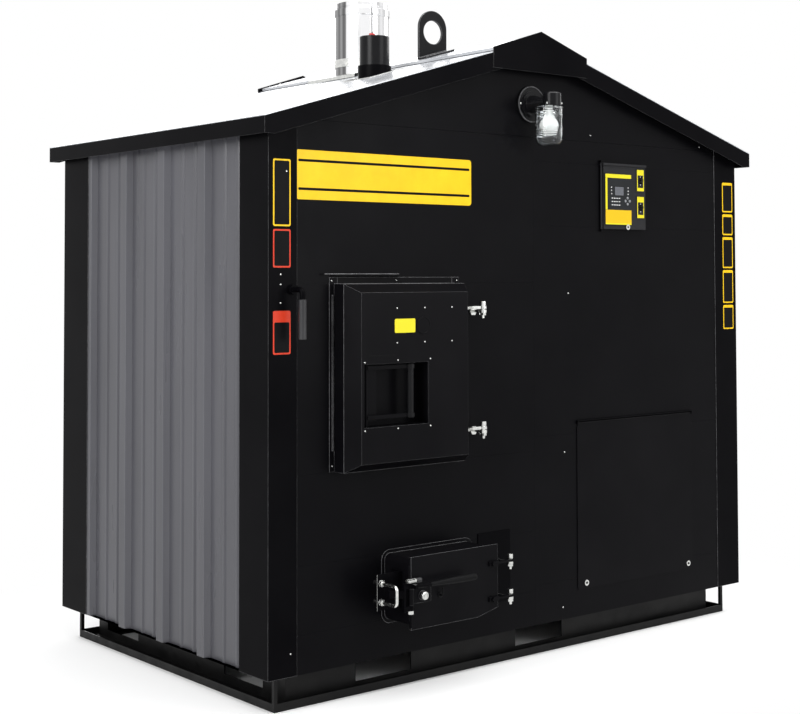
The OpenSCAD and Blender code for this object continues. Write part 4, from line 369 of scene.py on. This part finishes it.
def dressed(cad, mats, bevel, segs=2, angle=28, pick=None, edge=None):
    """A CAD node with its edges rounded, in a finish of their own if named (that bright finish is a painted
    highlight): the copy stands for the node.
    """
    mats = list(mats) if isinstance(mats, (list, tuple)) else [mats]
    me = NODES[cad].data.copy()
    bm = bmesh.new()
    bm.from_mesh(me)
    bmesh.ops.remove_doubles(bm, verts=bm.verts, dist=MERGE_DIST)
    bmesh.ops.dissolve_limit(bm, angle_limit=FLAT_ANGLE, verts=bm.verts, edges=bm.edges)
    bm.to_mesh(me)
    bm.free()
    me.materials.clear()
    for mat in mats + ([edge] if edge else []):
        me.materials.append(mat)
    for face in me.polygons:
        face.use_smooth = True
        face.material_index = 0
    me.set_sharp_from_angle(angle=NEVER_SHARP)
    ob = bpy.data.objects.new(cad + "_dressed", me)
    scene.collection.objects.link(ob)
    apply_modifier(ob, "BEVEL", width=bevel, segments=segs, limit_method="ANGLE",
                   angle_limit=math.radians(angle), use_clamp_overlap=True,
                   material=len(mats) if edge else -1)
    ob.data.set_sharp_from_angle(angle=SHARP_AFTER_BEVEL)
    weigh_normals(ob)
    if pick:
        for face in ob.data.polygons:
            face.material_index = pick(face.center, face.normal)
    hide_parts(cad)
    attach(ob, BODY_OF[cad])


def plain(cad, mat):
    """A CAD node shown as it is, in its finish."""
    me = NODES[cad].data
    me.materials.clear()
    me.materials.append(mat)


def lathe(bm, profile, origin, axis, segs):
    """Spins (radius, height) points round an axis through origin; -y points out of the front."""
    rings = []
    for radius, height in profile:
        ring = []
        for i in range(segs):
            turn = 2 * math.pi * i / segs
            c, s = math.cos(turn) * radius, math.sin(turn) * radius
            p = {"z": (c, s, height), "y": (c, height, -s), "-y": (c, -height, s)}[axis]
            ring.append(bm.verts.new(Vector(origin) + Vector(p)))
            if radius < POLE_R:
                break
        rings.append(ring)
    for a, b in zip(rings, rings[1:]):
        n = max(len(a), len(b))
        for i in range(n):
            j = (i + 1) % n
            if len(a) == 1:
                corners = [a[0], b[j], b[i]]
            elif len(b) == 1:
                corners = [a[i], a[j], b[0]]
            else:
                corners = [a[i], a[j], b[j], b[i]]
            bm.faces.new(corners)
    return rings


def turned(name, profile, origin, axis, segs, mat, body):
    bm = bmesh.new()
    lathe(bm, profile, origin, axis, segs)
    add_piece(bm, name, mat, body)


def rounded_plate(bm, x0, x1, z0, z1, y, t, r, edge, segs=5):
    """A plate of thickness t on the plane y, facing the front, with round corners and a small chamfer."""
    corners = ((x1 - r, z1 - r, 0), (x0 + r, z1 - r, 90), (x0 + r, z0 + r, 180), (x1 - r, z0 + r, 270))

    def ring(depth, inset):
        bend, verts = r - inset, []
        for cx, cz, start in corners:
            for k in range(segs + 1):
                a = math.radians(start + 90 * k / segs)
                verts.append(bm.verts.new((cx + bend * math.cos(a), depth, cz + bend * math.sin(a))))
        return verts

    rings = [ring(y, 0), ring(y - t + edge, 0), ring(y - t, edge)]
    n = len(rings[0])
    for a, b in zip(rings, rings[1:]):
        for i in range(n):
            bm.faces.new([a[i], b[i], b[(i + 1) % n], a[(i + 1) % n]])
    bm.faces.new(rings[-1])
    bm.faces.new(list(reversed(rings[0])))


def plate(name, x0, x1, z0, z1, y, t, mat, body, r, edge, segs=5):
    bm = bmesh.new()
    rounded_plate(bm, x0, x1, z0, z1, y, t, r, edge, segs)
    add_piece(bm, name, mat, body)


def tube(bm, points, radius, segs):
    """A round bar along points, closed at both ends."""
    points = [Vector(p) for p in points]
    rings, side = [], None
    for i, p in enumerate(points):
        along = (points[min(i + 1, len(points) - 1)] - points[max(i - 1, 0)]).normalized()
        side = (along.orthogonal() if side is None else side - along * side.dot(along)).normalized()
        across = along.cross(side)
        turns = [2 * math.pi * k / segs for k in range(segs)]
        rings.append([bm.verts.new(p + (side * math.cos(t) + across * math.sin(t)) * radius) for t in turns])
    for a, b in zip(rings, rings[1:]):
        for k in range(segs):
            bm.faces.new([a[k], a[(k + 1) % segs], b[(k + 1) % segs], b[k]])
    bm.faces.new(list(reversed(rings[0])))
    bm.faces.new(rings[-1])


def pan_head(bm, at, r, h):
    """A domed screw head with a small recess, facing the front."""
    lathe(bm, [(r, 0), (r, h * 0.35), (r * 0.85, h * 0.75), (r * 0.5, h), (r * 0.32, h), (r * 0.22, h * 0.6),
               (0, h * 0.6)], at, "-y", 20)


# ---------------------------------------------------------------- CAD nodes shown as they are
for cad, finish in dict(floor_pan=STEEL, wall_frame=STEEL, boiler_shell=STEEL, firebox=STEEL, ash_chamber=STEEL,
                        burn_pot=CAST, ash_pan=GALV, hopper=GALV, auger_tube=STEEL, auger_motor=MOTOR,
                        blower_housing=MOTOR, control_box=STEEL, auger_screw=STEEL, blower_wheel=GALV,
                        rear_panel=BLACK, front_panel=BLACK, fire_door_plug=REFRACT, ash_door_plug=REFRACT,
                        fire_door_gasket=ROPE, plinth=CHASSIS, roof_panels=ROOF).items():
    plain(cad, finish)

# ---------------------------------------------------------------- CAD nodes with rounded edges
# places where one finish of a node ends and the next begins
VENT_AT = (-0.357, -0.240)
BOOT_R = 0.0595
BUSH_Z = 2.1245
RIB_SHOULDER_X, RIB_FLANK_X = 1.0745, 1.0615
RIB_END_TURN, RIB_FLANK_TURN = 0.5, 0.10    # how far a normal turns up at a rib's end and sideways on its flank
BRACKET_TOP_Z, BRACKET_Y = 0.46, -0.68
KEEPER_X, KEEPER_BACK_Y, KEEPER_FRONT_Y = -0.7465, -0.7049, -0.7551
U_BOLT_X, U_BOLT_R = -0.731, 0.0101
LONG_GRIP_X, STRAP_Y = -0.607, -0.825
COLLAR_X0, COLLAR_X1, COLLAR_Z = -0.6445, -0.6235, 0.3575
NUT_X, UPPER_NUT_Z, LOWER_NUT_Z0, LOWER_NUT_Z1 = -0.644, 0.3622, 0.2675, 0.2785
LATCH_BAR_X = -0.6255
LEVER_GRIP_Y, LEVER_GRIP_Z = -0.70, 1.2205
FIELD_X0, FIELD_X1, FIELD_Z0, FIELD_Z1, FIELD_Y = 0.3368, 0.4742, 1.4698, 1.6532, -0.6772


# each of these says which finish a face gets, from its centre c and its normal n
def rib_parts(c, n):
    """Sheet and crowns of the ribs 0, their shoulders 1 in a painted highlight, their flanks 2 painted lighter
    against their shade.
    """
    if abs(n.z) > RIB_END_TURN or abs(n.y) < RIB_FLANK_TURN:
        return 0
    return 1 if abs(c.x) > RIB_SHOULDER_X else 2 if abs(c.x) > RIB_FLANK_X else 0


def vent_boot(c, n):
    return int(math.hypot(c.x - VENT_AT[0], c.y - VENT_AT[1]) < BOOT_R)


def vent_bush(c, n):
    return int(c.z > BUSH_Z)


def ash_bracket(c, n):
    return int(c.z < BRACKET_TOP_Z and c.y > BRACKET_Y)


def keeper_plate(c, n):
    """The plate 1; the U bolt and its nuts 0."""
    return int(c.x > KEEPER_X and KEEPER_FRONT_Y < c.y < KEEPER_BACK_Y and abs(c.x - U_BOLT_X) > U_BOLT_R)


def ash_latch_parts(c, n):
    """Black steel parts 0, bright nuts 1, the long handle's grip 2, its grey collar 3."""
    if c.x > LONG_GRIP_X:
        return 2
    if c.y > STRAP_Y and COLLAR_X0 < c.x < COLLAR_X1 and c.z > COLLAR_Z:
        return 3
    if c.y > STRAP_Y and (c.z > UPPER_NUT_Z or LOWER_NUT_Z0 < c.z < LOWER_NUT_Z1) and c.x < NUT_X:
        return 1
    return 0


def fire_latch_bar(c, n):
    return int(c.x > LATCH_BAR_X)


def lever_grip(c, n):
    return int(c.y < LEVER_GRIP_Y and c.z < LEVER_GRIP_Z)


def key_field(c, n):
    return int(FIELD_X0 < c.x < FIELD_X1 and FIELD_Z0 < c.z < FIELD_Z1 and c.y < FIELD_Y)


dressed("base_frame", CHASSIS, 0.0012)
dressed("side_panels", [RIB, RIB_SHOULDER_HIGHLIGHT, RIB_FLANK], 0.0035, 3, 20, pick=rib_parts)
# the edge= finish on these rounded edges is a painted highlight
dressed("corner_trims", BLACK_TRIM, 0.0012, edge=EDGE_HIGHLIGHT)
dressed("roof_trims", BLACK_TRIM, 0.0006, edge=EDGE_HIGHLIGHT)
dressed("ridge_cap", ROOF, 0.0006)
dressed("lifting_lug", PIPE_BLACK, 0.0016, 3, edge=EDGE_HIGHLIGHT)
dressed("chimney", CHIMNEY, 0.0015, 3)
dressed("roof_flashings", [ZINC, BLACK_TRIM], 0.0006, pick=vent_boot)
dressed("vent_pipe", [PIPE_BLACK, RED], 0.0015, 3, pick=vent_bush)
dressed("float_rod", GREYCOAT, 0.0004)
dressed("fire_door_frame", DOOR, 0.0010, edge=EDGE_HIGHLIGHT)
dressed("fire_door_casing", DOOR, 0.0014, 3, 20, edge=EDGE_HIGHLIGHT)
dressed("fire_hinge_arms", ZINC, 0.0010)
dressed("hinge_mounts", [ZINC, BLACK_TRIM], 0.0008, pick=ash_bracket)
dressed("hinge_pins", ZINC, 0.0007)
dressed("ash_door_frame", DOOR, 0.0010, edge=EDGE_HIGHLIGHT)
dressed("ash_keeper", [ZINC, BLACK_TRIM], 0.0006, pick=keeper_plate)
dressed("ash_door_plate", DOOR, 0.0012, 3, edge=EDGE_HIGHLIGHT)
dressed("ash_hinge_arms", DOOR, 0.0008)
dressed("ash_latch_handle", [BLACK_TRIM, ZINC, RUBBER, GREYCOAT], 0.0008, pick=ash_latch_parts)
dressed("fire_latch_handle", [DOOR, PIPE_BLACK], 0.0009, pick=fire_latch_bar)
dressed("bypass_lever", [BLACK_TRIM, GREYCOAT], 0.0009, pick=lever_grip)
dressed("access_hatch", DOOR, 0.0006, edge=EDGE_HIGHLIGHT)
dressed("hatch_lock_left", ZINC, 0.0005)
dressed("hatch_lock_right", ZINC, 0.0005)
dressed("control_panel", [BEZEL, FIELD], 0.0008, pick=key_field)
dressed("control_lock", ZINC, 0.0004)
dressed("switch_upper", PLASTIC, 0.0008, 3)
dressed("switch_lower", PLASTIC, 0.0008, 3)
for direction in ("up", "down", "left", "right"):
    dressed("key_" + direction, KEY, 0.0005, 3)
dressed("lamp_base", PIPE_BLACK, 0.0015, 3, edge=EDGE_HIGHLIGHT)
dressed("service_ports", BRASS, 0.0010)
dressed("hopper_lid", ROOF, 0.0010)

# ---------------------------------------------------------------- screws of the cabinet
WALL_SCREW_W, WALL_SCREW_H = 0.0115, 0.0045    # a screw that is wider or stands out further sits on the roof
PAN_SHARE = 0.58                               # radius of a wall screw's head as a share of the CAD screw's
ROOF_SLOPE = 0.3                               # rise of the roof over its run
ROOF_SEAT = 0.0056                             # a roof screw's seat lies this far below the CAD screw's top


def islands(me):
    """The separate bodies of a mesh, each as its corner points."""
    bm = bmesh.new()
    bm.from_mesh(me)
    bmesh.ops.remove_doubles(bm, verts=bm.verts, dist=MERGE_DIST)
    bm.verts.ensure_lookup_table()
    seen, found = set(), []
    for start in bm.verts:
        if start.index in seen:
            continue
        stack, points = [start], []
        seen.add(start.index)
        while stack:
            vert = stack.pop()
            points.append(vert.co.copy())
            for link in vert.link_edges:
                other = link.other_vert(vert)
                if other.index not in seen:
                    seen.add(other.index)
                    stack.append(other)
        found.append(points)
    bm.free()
    return found


bm = bmesh.new()
for points in islands(NODES["cabinet_screws"].data):
    lo = Vector([min(p[i] for p in points) for i in range(3)])
    hi = Vector([max(p[i] for p in points) for i in range(3)])
    c = (lo + hi) / 2
    r = (hi.x - lo.x) / 2
    if hi.z - lo.z < WALL_SCREW_W and hi.y - lo.y < WALL_SCREW_H:
        pan_head(bm, (c.x, hi.y, c.z), r * PAN_SHARE, hi.y - lo.y)
        continue
    slope = ROOF_SLOPE if c.x < 0 else -ROOF_SLOPE
    for ring in lathe(bm, [(r, -0.0012), (r, 0.0012), (r * 0.62, 0.0014), (r * 0.62, 0.0036), (r * 0.4, 0.0046),
                           (0, 0.0046)], (0, 0, 0), "z", 12):
        for v in ring:
            v.co = Vector((c.x + v.co.x, c.y + v.co.y, v.co.z + hi.z - ROOF_SEAT + slope * v.co.x))
add_piece(bm, "screw_heads", ZINC, "cabinet", ["cabinet_screws"])

# ---------------------------------------------------------------- lamp: jar, bulb, screws and rim
JAR_AT = (-0.015, -0.758, 0)
CUP_AT = Vector((-0.009, -0.767, 0))
PLATE_X, PLATE_Z = -0.012, 1.874
GLOBE_R, GLOBE_Z, GLOBE_STEP = 0.0325, 1.7925, 9.3
SOCKET_Z, THREAD_PITCH = 1.8490, 0.0055

bm = bmesh.new()
outer = [(0.0, 1.7252), (0.018, 1.7254), (0.029, 1.7268), (0.037, 1.7310), (0.0420, 1.7375), (0.0440, 1.7460),
         (0.0450, 1.7560)]
for z in (1.7615, 1.7690, 1.7765, 1.7840):
    outer += [(0.0458, z - 0.0027), (0.0480, z - 0.0009), (0.0480, z + 0.0009), (0.0458, z + 0.0027)]
outer += [(0.0460, 1.7900), (0.0460, 1.8250)]
for z in (1.8300, 1.8378, 1.8456, 1.8534):
    outer += [(0.0460, z - 0.0028), (0.0487, z - 0.0011), (0.0487, z + 0.0011), (0.0460, z + 0.0028)]
outer += [(0.0430, 1.8585), (0.0330, 1.8600), (0.0200, 1.8610), (0.0173, 1.8630), (0.0173, 1.8908)]
inner = [(0.0158, 1.8908), (0.0158, 1.8600), (0.0320, 1.8582), (0.0415, 1.8568), (0.0442, 1.8530),
         (0.0442, 1.7900), (0.0433, 1.7560), (0.0424, 1.7465), (0.0405, 1.7390), (0.0358, 1.7332),
         (0.0285, 1.7290), (0.018, 1.7276), (0.0, 1.7274)]
lathe(bm, outer + inner, JAR_AT, "z", 72)
add_piece(bm, "jar_glass", GLASS, "cabinet", ["lamp_jar"], smooth=50)

bm = bmesh.new()
globe = [(0.0, GLOBE_Z - GLOBE_R)]
for k in range(1, 15):
    a = math.radians(-90 + k * GLOBE_STEP)
    globe.append((GLOBE_R * math.cos(a), GLOBE_Z + GLOBE_R * math.sin(a)))
globe += [(0.0215, 1.8190), (0.0172, 1.8270), (0.0146, 1.8350), (0.0134, 1.8420), (0.0132, 1.8470)]
lathe(bm, globe, JAR_AT, "z", 56)
socket = [(0.0132, 1.8470), (0.0126, 1.8480)]
for k in range(5):
    z = SOCKET_Z + k * THREAD_PITCH
    socket += [(0.0122, z), (0.0128, z + 0.0015), (0.0128, z + 0.0030), (0.0122, z + 0.0045)]
socket += [(0.0128, 1.8770), (0.0060, 1.8960), (0.0, 1.8965)]
lathe(bm, socket, JAR_AT, "z", 40)
add_piece(bm, "bulb", BULB, "cabinet", ["lamp_bulb"], smooth=60)

bm = bmesh.new()
for x in (PLATE_X - 0.0525, PLATE_X + 0.0525):
    pan_head(bm, (x, -0.6712, PLATE_Z), 0.0042, 0.003)
add_piece(bm, "lamp_screws", ZINC, "cabinet")
# the rim round the wall plate is in the bright edge finish: a painted highlight
turned("lamp_rim", [(0.0624, -0.6702), (0.0624, -0.6722), (0.0612, -0.6738), (0.0590, -0.6738), (0.0578, -0.6722),
                    (0.0578, -0.6702)], (PLATE_X, 0, PLATE_Z), "y", 72, EDGE_HIGHLIGHT, "cabinet")
bm = bmesh.new()
for a in (196, 312):
    out = Vector((math.cos(math.radians(a)), math.sin(math.radians(a)), 0))
    tube(bm, [CUP_AT + out * r + Vector((0, 0, 1.8675)) for r in (0.0305, 0.0330, 0.0348)], 0.0030, 14)
add_piece(bm, "cup_screws", ZINC, "cabinet")

# ---------------------------------------------------------------- fire door: screws, disc, plain plate and a slot in painted shade
FIRE_Y = -0.765
bm = bmesh.new()
for x, z in ((-.800, 1.029), (-.673, 1.032), (-.544, 1.032), (-.800, .824), (-.673, .824), (-.544, .824),
             (-.676, 1.191), (-.566, 1.191), (-.455, 1.191), (-.676, 1.085), (-.566, 1.085), (-.455, 1.085)):
    pan_head(bm, (x, FIRE_Y, z), 0.0027, 0.0018)
add_piece(bm, "fire_door_screws", ZINC, "fire_door")
turned("fire_door_disc", [(0.0285, 0), (0.0285, 0.0012), (0.0275, 0.0018), (0.0240, 0.0018), (0.0232, 0.0008),
                          (0, 0.0008)], (-0.571, FIRE_Y, 1.136), "-y", 64, DOOR, "fire_door")
plate("fire_door_plate", -.685, -.604, 1.115, 1.158, FIRE_Y, 0.0007, LEMON, "fire_door",
      r=0.004, edge=0.0003)
# no slot is cut: a thin black strip on the door face is painted shade where the slit looks dark
plate("fire_door_slot_shade", -.785, -.680, 1.0445, 1.0495, FIRE_Y, 0.0004, INK, "fire_door",
      r=0.0022, edge=0.0002)

# a thin bright bar laid on the edge of the drip strip above the fire door: a painted highlight along that edge
bm = bmesh.new()
tube(bm, [(-.886, -.6775, 1.2955), (-.600, -.6775, 1.2955)], 0.0021, 12)
add_piece(bm, "drip_edge_highlight", EDGE_HIGHLIGHT, "cabinet")

# ---------------------------------------------------------------- ash door: bright bolt head and black hook
ASH_Y = -0.800
turned("ash_latch_bolt", [(0.0130, 0), (0.0130, 0.004), (0.0118, 0.0058), (0.0092, 0.0066), (0.0088, 0.0050),
                          (0.0050, 0.0048), (0.0045, 0.0062), (0, 0.0066)], (-0.612, ASH_Y - 0.0150, 0.317),
       "-y", 40, ZINC, "ash_door")
bm = bmesh.new()
tube(bm, [(-.537, ASH_Y + .001, .308), (-.537, ASH_Y - .010, .306), (-.537, ASH_Y - .014, .312),
          (-.537, ASH_Y - .014, .332)], 0.0032, 12)
lathe(bm, [(0.009, 0), (0.009, 0.002), (0.007, 0.003), (0, 0.003)], (-0.537, ASH_Y, 0.306), "-y", 24)
add_piece(bm, "ash_door_hook", RUBBER, "ash_door")

# ---------------------------------------------------------------- control panel: blank bars, display and lights
KEYS_Y, PANEL_Y = -0.681, -0.679
SWITCH_Z = dict(upper=1.634, lower=1.536)


def film(name, x0, x1, z0, z1, mat, y=KEYS_Y, t=0.0003):
    plate(name, x0, x1, z0, z1, y, t, mat, "control_door", r=0.0015, edge=t * 0.4, segs=4)


film("panel_bar_top", .3385, .4725, 1.6380, 1.6515, LEMON)
film("panel_bar_left", .3385, .3480, 1.5245, 1.6375, LEMON)
film("panel_block", .3385, .4725, 1.4750, 1.5235, AMBER)
film("panel_bar_low", .3385, .4725, 1.4715, 1.4765, LEMON, t=0.00035)
film("display_rim", .3840, .4350, 1.5735, 1.6095, PLASTIC)
film("display_glass", .3868, .4322, 1.5762, 1.6068, SCREEN, t=0.0006)
bm = bmesh.new()
for x in (.3695, .4560):
    for z in (1.5815, 1.5930, 1.6045):
        lathe(bm, [(0.0022, 0), (0.0022, 0.0005), (0.0014, 0.0011), (0, 0.0012)], (x, KEYS_Y, z), "-y", 16)
for z in (1.5640, 1.5520, 1.5400):
    for x in (.3700, .3820, .3940, .4060):
        rounded_plate(bm, x, x + .0075, z, z + .0030, KEYS_Y, .0004, r=.0008, edge=.0001, segs=2)
for z in SWITCH_Z.values():
    for dz in (-.0155, .0125):
        lathe(bm, [(0.0020, 0), (0.0020, 0.0003), (0, 0.0005)], (.524, PANEL_Y, z + dz), "-y", 14)
add_piece(bm, "panel_lights", WHITE, "control_door")

# ---------------------------------------------------------------- keyholes of the three locks, black discs of painted shade
for cad, r in (("control_lock", .0036), ("hatch_lock_left", .0046), ("hatch_lock_right", .0046)):
    at = TURN_AT[BODY_OF[cad]]
    turned(cad + "_keyhole_shade", [(r, 0), (r, 0.0003), (0, 0.0004)], (at[0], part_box(cad)[0].y, at[2]), "-y", 24,
           INK, BODY_OF[cad])

# ---------------------------------------------------------------- blank films round the switches
for which, z in SWITCH_Z.items():
    film("switch_film_top_" + which, .5060, .5420, z + .0185, z + .0385, LEMON, PANEL_Y)
    film("switch_film_low_" + which, .5060, .5420, z - .0385, z - .0270, LEMON, PANEL_Y)
    film("switch_side_l_" + which, .5060, .5095, z - .0270, z + .0185, LEMON, PANEL_Y)
    film("switch_side_r_" + which, .5385, .5420, z - .0270, z + .0185, LEMON, PANEL_Y)

# ---------------------------------------------------------------- arrows on the four keys
PAD_X, PAD_Z, KEY_STEP = .453, 1.557, .011
ARROW_TIP, ARROW_TAIL, ARROW_HALF = .0026, .0015, .0024
ARROW_FRONT_Y, ARROW_BACK_Y = -0.68265, -0.68245
for direction, (dx, dz) in dict(up=(0, 1), down=(0, -1), left=(-1, 0), right=(1, 0)).items():
    cx, cz = PAD_X + dx * KEY_STEP, PAD_Z + dz * KEY_STEP
    corners = [(dx * ARROW_TIP, dz * ARROW_TIP),
               (-dx * ARROW_TAIL + dz * ARROW_HALF, -dz * ARROW_TAIL + dx * ARROW_HALF),
               (-dx * ARROW_TAIL - dz * ARROW_HALF, -dz * ARROW_TAIL - dx * ARROW_HALF)]
    bm = bmesh.new()
    a = [bm.verts.new((cx + u, ARROW_FRONT_Y, cz + v)) for u, v in corners]
    b = [bm.verts.new((cx + u, ARROW_BACK_Y, cz + v)) for u, v in corners]
    bm.faces.new(a)
    bm.faces.new(b)
    for i in range(3):
        bm.faces.new([a[i], a[(i + 1) % 3], b[(i + 1) % 3], b[i]])
    add_piece(bm, "arrow_" + direction, PLASTIC, "key_" + direction[0], weighted=False)

# ---------------------------------------------------------------- plain band and strips on the cabinet
WALL_Y, TRIM_Y = -0.663, -0.665


def strip(name, x0, x1, z0, z1, y, t, mat, r, edge=0.0001):
    plate(name, x0, x1, z0, z1, y, t, mat, "cabinet", r, edge)


strip("band_yellow", -.980, -.282, 1.520, 1.670, WALL_Y, 0.0004, YELLOW, 0.010, 0.0002)
strip("band_stripe_a", -.972, -.290, 1.548, 1.556, WALL_Y - 0.0003, 0.0004, INK, 0.003)
strip("band_stripe_b", -.972, -.290, 1.634, 1.642, WALL_Y - 0.0003, 0.0004, INK, 0.003)
for i, (z0, z1, foot) in enumerate(((1.438, 1.638, .005), (1.315, 1.429, .005), (1.058, 1.187, .034))):
    strip("strip_left_%d" % i, -1.0635, -1.0010, z0, z1, TRIM_Y, 0.0005, ORANGE if i else YELLOW, 0.005, 0.0002)
    strip("strip_left_core_%d" % i, -1.059, -1.0055, z0 + .005, z1 - foot, TRIM_Y - 0.0004, 0.0004, INK, 0.004)
for i, (z0, z1) in enumerate(((1.532, 1.646), (1.444, 1.524), (1.317, 1.436), (1.183, 1.309), (1.083, 1.175))):
    strip("strip_right_%d" % i, 1.003, 1.063, z0, z1, TRIM_Y, 0.0005, YELLOW, 0.005, 0.0002)
    strip("strip_right_core_%d" % i, 1.007, 1.059, z0 + .005, z1 - .010, TRIM_Y - 0.0004, 0.0004, INK, 0.004)

# ---------------------------------------------------------------- two beads on the chimney
CHIMNEY_AT = (-0.135, 0.125, 0)
bm = bmesh.new()
lathe(bm, [(0.1018, 2.262), (0.1028, 2.2635), (0.1028, 2.2655), (0.1018, 2.267)], CHIMNEY_AT, "z", 96)
lathe(bm, [(0.0963, 2.296), (0.0972, 2.2972), (0.0972, 2.2990), (0.0963, 2.300)], CHIMNEY_AT, "z", 96)
add_piece(bm, "chimney_beads", CHIMNEY, "cabinet")

# ---------------------------------------------------------------- floor
FLOOR_HALF, FLOOR_Z = 14, -0.0005
FLOOR_NEAR = 0.45                 # how much of the backdrop's white shows right beside the furnace
FADE_OUT = 0.9                    # over this distance the floor turns to that white
FOOT_X, FOOT_Y = 1.045, 0.638     # half sizes of the base frame


def seen_directly(nt):
    """1 where the camera sees it, straight, through glass or in a gloss."""
    rays = node(nt, "ShaderNodeLightPath").outputs
    seen = rays["Is Camera Ray"]
    for kind in ("Is Transmission Ray", "Is Glossy Ray"):
        seen = calc(nt, "MAXIMUM", seen, rays[kind])
    return seen


bm = bmesh.new()
bm.faces.new([bm.verts.new((x * FLOOR_HALF, y * FLOOR_HALF, FLOOR_Z))
              for x, y in ((-1, -1), (1, -1), (1, 1), (-1, 1))])
floor = bpy.data.objects.new("floor", to_mesh(bm, "floor"))
scene.collection.objects.link(floor)

# the floor keeps its shadow near the furnace and turns to the plain white of the backdrop further out;
# under the furnace, inside its base frame, nothing of that white is added
floor_mat, nt, b = new_mat("floor_pale")
b.inputs["Roughness"].default_value = 0.9
b.inputs["Specular IOR Level"].default_value = 0.1
nt.links.new(two_tone(nt, noise(nt, coords(nt), 1.5), grey(0.87), grey(0.90)), b.inputs["Base Color"])
place = split_xyz(nt, coords(nt))
out_by = [calc(nt, "SUBTRACT", calc(nt, "ABSOLUTE", place[axis]), half)
          for axis, half in (("X", FOOT_X), ("Y", FOOT_Y))]
away = calc(nt, "MAXIMUM", *out_by)
outside = calc(nt, "GREATER_THAN", away, 0.0)
fade = smooth_range(nt, away, 0.0, FADE_OUT, FLOOR_NEAR, 1.0)
share = calc(nt, "MULTIPLY", calc(nt, "MULTIPLY", seen_directly(nt), fade), outside)
white = node(nt, "ShaderNodeEmission", Strength=1.0)
nt.links.new(mixed(nt, share, b.outputs[0], white.outputs[0]), nt.nodes["Material Output"].inputs["Surface"])
floor.data.materials.append(floor_mat)
floor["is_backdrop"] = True

# ---------------------------------------------------------------- world and lamps
SKY_FROM, SKY_TO = 0.02, 0.55         # heights on the world between which its light grows
SKY_LOW, SKY_HIGH = 0.22, 0.95
world = bpy.data.worlds.new("world")
scene.world = world
world.use_nodes = True
nt = world.node_tree
light = nt.nodes["Background"]
light.inputs["Color"].default_value = (1, 1, 1, 1)
height = split_xyz(nt, node(nt, "ShaderNodeTexCoord").outputs["Generated"])["Z"]
nt.links.new(smooth_range(nt, height, SKY_FROM, SKY_TO, SKY_LOW, SKY_HIGH), light.inputs["Strength"])
backdrop = node(nt, "ShaderNodeBackground", Strength=1.0)
backdrop.inputs["Color"].default_value = (1, 1, 1, 1)
nt.links.new(mixed(nt, seen_directly(nt), light.outputs[0], backdrop.outputs[0]),
             nt.nodes["World Output"].inputs["Surface"])


def lamp(name, at, aim, size, power, size_y=None):
    data = bpy.data.lights.new(name, "AREA")
    data.shape = "RECTANGLE"
    data.size = size
    data.size_y = size_y or size
    data.energy = power
    ob = bpy.data.objects.new(name, data)
    scene.collection.objects.link(ob)
    ob.location = at
    ob.rotation_euler = (Vector(aim) - Vector(at)).to_track_quat("-Z", "Y").to_euler()


lamp("key_left", (-5.5, -1.5, 3.2), (0, 0, 1.0), 2.6, 190, size_y=3.0)
lamp("top_soft", (0.3, -1.2, 5.2), (0, 0, 1.5), 4.5, 240)
lamp("front_fill", (1.8, -6.0, 2.4), (0, 0, 1.0), 3.0, 90)
lamp("rear_fill", (2.5, 5.0, 3.0), (0, 0, 1.0), 3.5, 120)
lamp("right_fill", (6.0, 0.5, 2.5), (0, 0, 1.0), 3.0, 90)

scene.view_settings.view_transform = "Standard"
lo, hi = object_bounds()
